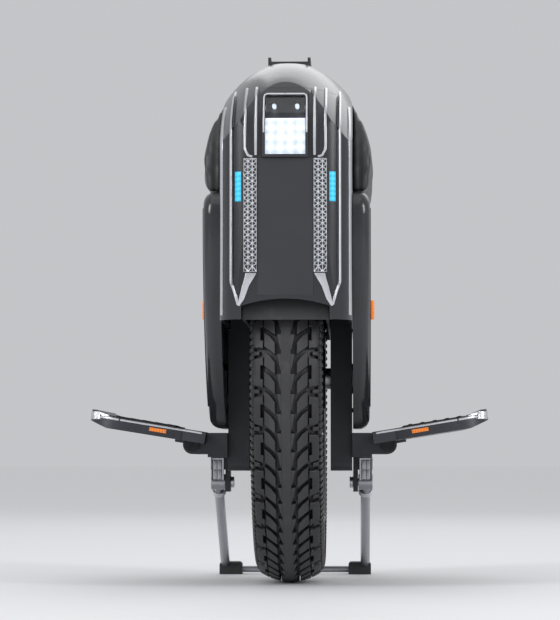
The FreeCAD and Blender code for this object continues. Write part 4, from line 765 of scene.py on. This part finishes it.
# bright blades that run out and down from the strips to the wheel arch: across, up, half width
bladePlan = {"spine": [(48.7, 296.8, 1.2), (45.6, 304.0, 2.8), (41.4, 317.5, 3.6), (38.2, 324.5, 4.6),
                       (35.6, 331.0, 5.8)],
             "seat": -1.2, "proud": 1.7, "round": 0.5}
blade = plate("bladeRight", [-1.0, 1.0], [float(i) for i in range(len(bladePlan["spine"]))])
for point in blade.data.vertices:
    x, z, half = bladePlan["spine"][round(point.co.y)]
    point.co = (x + point.co.x * half, z, bladePlan["seat"])
raisePlate(blade, bladePlan["proud"] - bladePlan["seat"])
roundEdges(blade, bladePlan["round"])
onFace(blade)
settle(bothSides("archBlades", blade), "chassis", "bare_steel")

# the way in from each side, and how far out a dropped line starts, in metres
dropPlan = {"front": ((0, 1, 0), 0.4), "back": ((0, -1, 0), 0.4), "top": ((0, 0, -1), 0.7), "near": 0.15}


def skinOf(*names):
    # the faces of some CAD nodes, for trim to be laid on
    points, faces = [], []
    for name in names:
        start = len(points)
        points += [vertex.co.copy() for vertex in nodes[name].data.vertices]
        faces += [[start + corner for corner in face.vertices] for face in nodes[name].data.polygons]
    return BVHTree.FromPolygons(points, faces)


def layOn(piece, skin, way):
    # flat across, up and height in millimetres, dropped on a skin from one side
    aim, farOut = Vector(dropPlan[way][0]), dropPlan[way][1]
    for point in piece.data.vertices:
        across, up, height = point.co
        flat = (across, up, 0) if way == "top" else (across, 0, up)
        start = Vector(flat) * mm - aim * farOut
        spot, normal = skin.ray_cast(start, aim)[:2]
        if spot is None:
            spot, normal = skin.find_nearest(start + aim * dropPlan["near"])[:2]
        if normal.dot(aim) > 0:
            normal = -normal
        point.co = spot + normal * height * mm
    faceOut(piece)


def ribbon(name, spine, half, seat, proud, edge=0.4, cuts=0):
    # raised flat line along a path of across and up places
    strip = plate(name, [-1.0, 1.0], [float(i) for i in range(len(spine))])
    for point in strip.data.vertices:
        index = round(point.co.y)
        along = Vector(spine[min(index + 1, len(spine) - 1)]) - Vector(spine[max(index - 1, 0)])
        along.normalize()
        spot = Vector(spine[index]) + Vector((along.y, -along.x)) * half * point.co.x
        point.co = (*spot, seat)
    raisePlate(strip, proud - seat)
    roundEdges(strip, edge)
    if cuts:
        addModifier(strip, "SUBSURF", levels=cuts, render_levels=cuts, subdivision_type="SIMPLE")
    return strip


# slim raised lines down the front, the inner ones turning in to the strips and the arch, their bright steel finish a
# painted highlight along the ridges
linePlan = {
    "band": {"half": 1.2, "seat": -1.0, "proud": 1.2, "cuts": 2},
    "spines": {
        "outerLine": [(66.0, 515.0), (66.6, 495.0), (66.8, 460.0), (66.8, 420.0), (66.8, 380.0), (66.8, 340.0),
                      (66.8, 288.0)],
        "midLine": [(56.2, 534.0), (56.3, 522.0), (56.4, 508.0), (56.4, 480.0), (56.4, 450.0), (56.4, 400.0),
                    (56.4, 360.0), (56.4, 322.0), (53.2, 313.0), (50.8, 305.0), (49.6, 298.0)],
        "innerLine": [(41.8, 532.0), (41.8, 515.0), (41.8, 490.0), (41.8, 470.0), (41.8, 460.0), (38.5, 453.5),
                      (34.0, 452.0)],
        "lampLine": [(30.6, 530.0), (30.6, 510.0), (30.6, 490.0), (30.6, 470.0), (30.6, 453.5)],
    },
}
frontSkin = skinOf("front_fairing", "front_panel", "top_cap")
lines = []
for lineName, spine in linePlan["spines"].items():
    strip = ribbon(lineName, spine, **linePlan["band"])
    layOn(strip, frontSkin, "front")
    lines += [strip, mirrorTwin(strip, lineName + "Left")]
# painted highlight: bright steel stands in for the light the dark ridges catch
settle(joined("faceLines", lines), "chassis", "bare_steel")

# bright outline over the headlight, its halves overlapping in the middle
lampTrimPlan = {"band": {"half": 0.8, "seat": -0.7, "proud": 0.9, "edge": 0.3, "cuts": 1},
                "spine": [(22.4, 477), (22.4, 485), (22.4, 492), (22.4, 500), (22.4, 508), (22.4, 515.4),
                          (21.6, 518.2), (19.2, 519.5), (12, 519.5), (-1, 519.5)]}
lampTrim = ribbon("lampTrimRight", lampTrimPlan["spine"], **lampTrimPlan["band"])
layOn(lampTrim, skinOf("headlight_housing"), "front")
settle(bothSides("lampTrim", lampTrim), "chassis", "bare_steel")
print("front lines and lamp outline ready")

# channel plates over the tops of the stand legs
sleevePlan = {"low": (77.0, 23.4, 113.0), "high": (91.4, 25.7, 139.4), "rim": 2.2, "sink": 1.3, "rib": 0.5,
              "round": 0.5}
sleeve = block("standSleeveRight", sleevePlan["low"], sleevePlan["high"])
pickFaces(sleeve, lambda face: face.normal.y < -0.9)
bpy.ops.mesh.inset(thickness=sleevePlan["rim"] * mm, depth=-sleevePlan["sink"] * mm)
bpy.ops.mesh.subdivide(number_cuts=1)
bpy.ops.mesh.inset(thickness=sleevePlan["rib"] * mm, depth=sleevePlan["rib"] * mm, use_individual=True)
bpy.ops.object.mode_set(mode="OBJECT")
roundEdges(sleeve, sleevePlan["round"] * mm)
faceOut(sleeve)
settle(bothSides("standSleeves", sleeve), "chassis", "stand_steel")

# side panels: a raised border line, a field of low diamonds and short louvres
panelPlan = {
    "face": 88.5, "edgeArc": ((422.0, 206.0), (292.0, 180.0), (172.0, 66.0)), "inset": 15.0,
    "borderTop": 404.0, "borderStep": 9.4, "borderPoints": 23, "border": {"half": 1.6, "seat": trimSeat, "proud": 0.8},
    "studFrom": (-77.0, 312.0), "studPitch": 11.0, "studs": (15, 6), "studHalf": 4.0, "studHeight": 0.8,
    "studTop": 0.6, "louvres": 5, "louvreFrom": (-34.0, 288.0), "louvrePitch": 17.0, "louvreReach": (6.0, 9.0),
    "louvre": {"half": 2.2, "seat": trimSeat, "proud": 0.8},
}


def panelEdge(z):
    return arcAt(z, *panelPlan["edgeArc"]) - panelPlan["inset"]


def panelStuds():
    stud = plate("panelStud", [-1.0, 1.0], [-1.0, 1.0])
    half, pitch = panelPlan["studHalf"], panelPlan["studPitch"]
    for point in stud.data.vertices:
        point.co = ((point.co.x + point.co.y) / 2 * half, (point.co.x - point.co.y) / 2 * half, trimSeat)
    raisePlate(stud, panelPlan["studHeight"] - trimSeat)
    shrinkTop(stud, (panelPlan["studTop"], panelPlan["studTop"]))
    faceOut(stud)
    repeat(stud, panelPlan["studs"][0], (pitch, 0, 0))
    repeat(stud, 2, (pitch / 2, pitch / 2, 0))
    repeat(stud, panelPlan["studs"][1], (0, pitch, 0))
    for point in stud.data.vertices:
        point.co += Vector((*panelPlan["studFrom"], 0))
    return stud


sideHeights = [panelPlan["borderTop"] - panelPlan["borderStep"] * i for i in range(panelPlan["borderPoints"])]
border = [(-panelEdge(z), z) for z in sideHeights] + [(panelEdge(z), z) for z in reversed(sideHeights)]
panelTrim = [ribbon("panelBorder", border, **panelPlan["border"]), panelStuds()]
for index in range(panelPlan["louvres"]):
    y, z = panelPlan["louvreFrom"]
    y += index * panelPlan["louvrePitch"]
    over, rise = panelPlan["louvreReach"]
    panelTrim.append(ribbon("panelLouvre", [(y - over, z - rise), (y + over, z + rise)], **panelPlan["louvre"]))
panelTrim = joined("panelTrimRight", panelTrim)
for point in panelTrim.data.vertices:
    y, z, height = point.co
    point.co = Vector((panelPlan["face"] + height, y, z)) * mm
faceOut(panelTrim)
for trim in (panelTrim, mirrorTwin(panelTrim, "panelTrimLeft")):
    settle(trim, "chassis", "satin_shell")

# rounded lenses over the side markers, which show past the panels from the front
markerPlan = {"low": (88.2, -123.6, 289.0), "high": (93.4, -116.4, 310.0), "round": 1.6}
marker = block("markerLensRight", markerPlan["low"], markerPlan["high"])
roundEdges(marker, markerPlan["round"] * mm, 3)
faceOut(marker)
settle(bothSides("markerLenses", marker), "chassis", "lamp_amber")

# motor covers: radial ribs between two rings, drawn flat as distance and turn in thousandths of a radian
coverPlan = {"face": 35.0, "proud": 1.9, "ribs": 20, "rib": (62.0, 90.0, 120.0, 150.0), "ribHalf": 2.2,
             "ribSpread": 0.018, "ribTop": (0.97, 0.6), "rings": (56.0, 156.0), "ringFoot": 2.6, "ringTop": 1.4,
             "ringSteps": 96}
turnScale = 1000
coverOut = [coverPlan["face"] + height for height in (trimSeat, coverPlan["proud"])]
rib = plate("coverRib", coverPlan["rib"], [-1.0, 1.0], seat=trimSeat)
for point in rib.data.vertices:
    half = coverPlan["ribHalf"] + coverPlan["ribSpread"] * (point.co.x - coverPlan["rib"][0])
    point.co.y *= turnScale * half / point.co.x
raisePlate(rib, coverPlan["proud"] - trimSeat)
shrinkTop(rib, coverPlan["ribTop"], ((coverPlan["rib"][0] + coverPlan["rib"][-1]) / 2, 0, 0))
repeat(rib, coverPlan["ribs"], (0, turnScale * 2 * math.pi / coverPlan["ribs"], 0))
for point in rib.data.vertices:
    far, turn, height = point.co
    point.co = roundAxle(coverPlan["face"] + height, far, math.pi - turn / turnScale)
faceOut(rib)
coverPieces = [rib]
for ringRadius in coverPlan["rings"]:
    clearPick()
    bpy.ops.mesh.primitive_plane_add(size=1)
    ring = startPiece("coverRing")
    low, high = coverOut
    corners = {0: (low, -coverPlan["ringFoot"]), 1: (high, -coverPlan["ringTop"]), 3: (high, coverPlan["ringTop"]),
               2: (low, coverPlan["ringFoot"])}
    for index, (x, rise) in corners.items():
        ring.data.vertices[index].co = Vector((x, 0, wheelRadius + ringRadius + rise)) * mm
    bpy.ops.object.mode_set(mode="EDIT")
    bpy.ops.mesh.select_all(action="SELECT")
    bpy.ops.mesh.delete(type="ONLY_FACE")
    bpy.ops.mesh.select_all(action="SELECT")
    bpy.ops.mesh.spin(steps=coverPlan["ringSteps"], angle=2 * math.pi, center=(0, 0, wheelRadius * mm), axis=(1, 0, 0))
    bpy.ops.object.mode_set(mode="OBJECT")
    faceOut(ring)
    coverPieces.append(ring)
coverRibs = joined("coverRibsRight", coverPieces)
for ribs in (coverRibs, mirrorTwin(coverRibs, "coverRibsLeft")):
    settle(ribs, "wheel", "cast_alloy")
print("side panel and motor cover relief ready")

# back of the shell: tail light outline, upright lines and air louvres, halves overlapping in the middle
rearPlan = {
    "band": {"half": 1.2, "seat": -0.8, "proud": 1.0, "cuts": 1},
    "louvre": {"half": 2.4, "seat": -0.8, "proud": 1.0, "edge": 0.8},
    "tail": [(-1, 401.4), (20, 401.4), (33.6, 401.4), (35.8, 402.6), (36.4, 405), (36.4, 423), (35.8, 425.4),
             (33.6, 426.6), (20, 426.6), (-1, 426.6)],
    "uprights": (55.0, 43.0), "uprightHeights": [300.0 + 17.0 * i for i in range(10)],
    "louvreAcross": (-1.5, 10.0, 20.0, 26.0), "louvreHeights": [318.0 + 10.0 * i for i in range(6)],
}
rearLines = [ribbon("tailOutline", rearPlan["tail"], **rearPlan["band"])]
for reach in rearPlan["uprights"]:
    rearLines.append(ribbon("rearLine", [(reach, z) for z in rearPlan["uprightHeights"]], **rearPlan["band"]))
for height in rearPlan["louvreHeights"]:
    rearLines.append(ribbon("rearLouvre", [(x, height) for x in rearPlan["louvreAcross"]], **rearPlan["louvre"]))
rearTrim = joined("rearTrimRight", rearLines)
layOn(rearTrim, skinOf("rear_fairing", "top_cap"), "back")
settle(bothSides("rearTrim", rearTrim), "chassis", "satin_shell")

# ribbed rubber inlay on the handle, each bar a shallow arrow
inlayPlan = {"half": 16.0, "from": -63.0, "pitch": 6.0, "bars": 22, "barHalf": 1.9, "arrow": 1.6, "proud": 1.3,
             "round": 0.5}
bar = plate("handleBar", [-inlayPlan["half"], 0.0, inlayPlan["half"]], [-inlayPlan["barHalf"], inlayPlan["barHalf"]],
            seat=trimSeat)
for point in bar.data.vertices:
    point.co.y += inlayPlan["from"] + (0 if point.co.x else inlayPlan["arrow"])
raisePlate(bar, inlayPlan["proud"] - trimSeat)
roundEdges(bar, inlayPlan["round"])
repeat(bar, inlayPlan["bars"], (0, inlayPlan["pitch"], 0))
layOn(bar, skinOf("carry_handle"), "top")
settle(joined("handleInlay", [bar]), "chassis", "foot_rubber")

# small hollow hexagon studs on the pedal grips
gripPlan = {"radius": 2.2, "height": 0.8, "from": (133.0, -78.0), "pitch": (13.5, 19.5), "count": (5, 9), "rim": 0.7,
            "hollow": 0.5}
for side, sign in (("right", 1), ("left", -1)):
    clearPick()
    bpy.ops.mesh.primitive_cylinder_add(vertices=6, radius=gripPlan["radius"], depth=gripPlan["height"] - trimSeat,
                                        location=(0, 0, (gripPlan["height"] + trimSeat) / 2))
    pin = startPiece("gripStud")
    bpy.ops.object.transform_apply(location=True, rotation=True, scale=True)
    pickTops(pin)
    bpy.ops.mesh.inset(thickness=gripPlan["rim"], depth=-gripPlan["hollow"])
    bpy.ops.object.mode_set(mode="OBJECT")
    repeat(pin, gripPlan["count"][0], (gripPlan["pitch"][0], 0, 0))
    repeat(pin, gripPlan["count"][1], (0, gripPlan["pitch"][1], 0))
    for point in pin.data.vertices:
        point.co.x = sign * (point.co.x + gripPlan["from"][0])
        point.co.y += gripPlan["from"][1]
    layOn(pin, skinOf("pedal_grip_" + side), "top")
    settle(joined("gripStuds" + side.capitalize(), [pin]), "pedal_" + side, "dark_steel")

# pedals: a bright line along the front and back edges, and a ribbed tip at its outer end
edgePlan = {"from": 95.0, "to": 206.0, "points": 13, "pin": (108.0, 154.0), "deck": 16.0, "tilt": math.radians(9.2),
            "below": 1.9, "band": {"half": 1.1, "seat": trimSeat, "proud": 0.7, "edge": 0.3}}
tipPlan = {"ribs": 7, "pitch": 1.5, "up": (181.5, 190.0), "proud": 0.7, "rim": 0.4, "groove": 0.5}
edgeTop = edgePlan["pin"][1] + edgePlan["deck"] / math.cos(edgePlan["tilt"]) - edgePlan["below"]
edgeStep = (edgePlan["to"] - edgePlan["from"]) / (edgePlan["points"] - 1)
edgeAcross = [edgePlan["from"] + edgeStep * i for i in range(edgePlan["points"])]
edgeSpine = [(x, edgeTop + (x - edgePlan["pin"][0]) * math.tan(edgePlan["tilt"])) for x in edgeAcross]
tipAcross = [edgePlan["to"] + tipPlan["pitch"] * i for i in range(tipPlan["ribs"] + 1)]
pedalSkin = skinOf("pedal_right")
pedalEdges = []
for way in ("front", "back"):
    strip = ribbon("pedalEdge", edgeSpine, **edgePlan["band"])
    tip = plate("pedalTip", tipAcross, tipPlan["up"], seat=trimSeat)
    raisePlate(tip, tipPlan["proud"] - trimSeat)
    pickTops(tip)
    bpy.ops.mesh.inset(use_individual=True, thickness=tipPlan["rim"], depth=-tipPlan["groove"])
    bpy.ops.object.mode_set(mode="OBJECT")
    for piece in (strip, tip):
        layOn(piece, pedalSkin, way)
        pedalEdges.append(piece)
pedalEdge = joined("pedalEdgeRight", pedalEdges)
pedalEdgeLeft = mirrorTwin(pedalEdge, "pedalEdgeLeft")
settle(pedalEdge, "pedal_right", "bare_steel")
settle(pedalEdgeLeft, "pedal_left", "bare_steel")
print("rear, handle and pedal relief ready")

# side pads: the CAD leaf puffed by cloth pressure, held where it sits on the shell, in metres
padPlan = {"voxel": 0.005, "shrink": 0.0012, "pressure": 4.0, "frames": 20, "cap": 0.006, "hold": 0.004, "fill": 0.9,
           "smooth": 0.5, "smoothRuns": 6, "facing": 0.25, "channels": (-0.105, -0.035, 0.035, 0.105),
           "channelDepth": 0.0022, "channelHalf": 0.0032, "channelSlant": 2.2, "channelMiddle": 0.43,
           "fadeFrom": 0.003, "fadeOver": 0.006, "seamAt": 0.0075, "seamDepth": 0.0012, "seamHalf": 0.0020}
shellSkin = skinOf("front_fairing", "rear_fairing", "top_cap")
clearPick()
pad = bpy.data.objects.new("sidePadRight", nodes["side_pad_right"].data.copy())
scene.collection.objects.link(pad)
faceOut(pad)
addModifier(pad, "REMESH", mode="VOXEL", voxel_size=padPlan["voxel"])
held = pad.vertex_groups.new(name="held")
for point in pad.data.vertices:
    if shellSkin.find_nearest(point.co)[3] < padPlan["hold"]:
        held.add([point.index], 1.0, "REPLACE")
    else:
        point.co -= point.normal * padPlan["shrink"]
before = [point.co.copy() for point in pad.data.vertices]
cloth = pad.modifiers.new("puff", "CLOTH")
cloth.settings.use_pressure = True
cloth.settings.uniform_pressure_force = padPlan["pressure"]
cloth.settings.effector_weights.gravity = 0
cloth.settings.vertex_group_mass = "held"
cloth.point_cache.frame_end = padPlan["frames"]
for frameNumber in range(1, padPlan["frames"] + 1):
    scene.frame_set(frameNumber)
bpy.context.view_layer.objects.active = pad
bpy.ops.object.modifier_apply(modifier="puff")
scene.frame_set(1)
for point, place in zip(pad.data.vertices, before):
    move = point.co - place
    if move.length > padPlan["cap"]:
        point.co = place + move.normalized() * padPlan["cap"]
addModifier(pad, "SMOOTH", factor=padPlan["smooth"], iterations=padPlan["smoothRuns"])
addModifier(pad, "SUBSURF", levels=1, render_levels=1)


def dent(offset, half):
    return math.exp(-(offset / half) ** 2)


# slanted channels that fade out at the border, and a seam along it
for point in pad.data.vertices:
    x, y, z = point.co
    rise = shellSkin.find_nearest(point.co)[3]
    sink = padPlan["seamDepth"] * dent(rise - padPlan["seamAt"], padPlan["seamHalf"])
    if point.normal.x > padPlan["facing"]:
        fade = min(1, max(0, (rise - padPlan["fadeFrom"]) / padPlan["fadeOver"]))
        for base in padPlan["channels"]:
            line = base * (1 - padPlan["channelSlant"] * (z - padPlan["channelMiddle"]))
            sink += fade * padPlan["channelDepth"] * dent(y - line, padPlan["channelHalf"])
    point.co = Vector((x, y, z)) - point.normal * sink
faceOut(pad)
for cushion, side in ((pad, "right"), (mirrorTwin(pad, "sidePadLeft"), "left")):
    settle(cushion, "chassis", "pad_foam", ["side_pad_" + side], 60)
print("pads:", len(pad.data.polygons), "faces each")
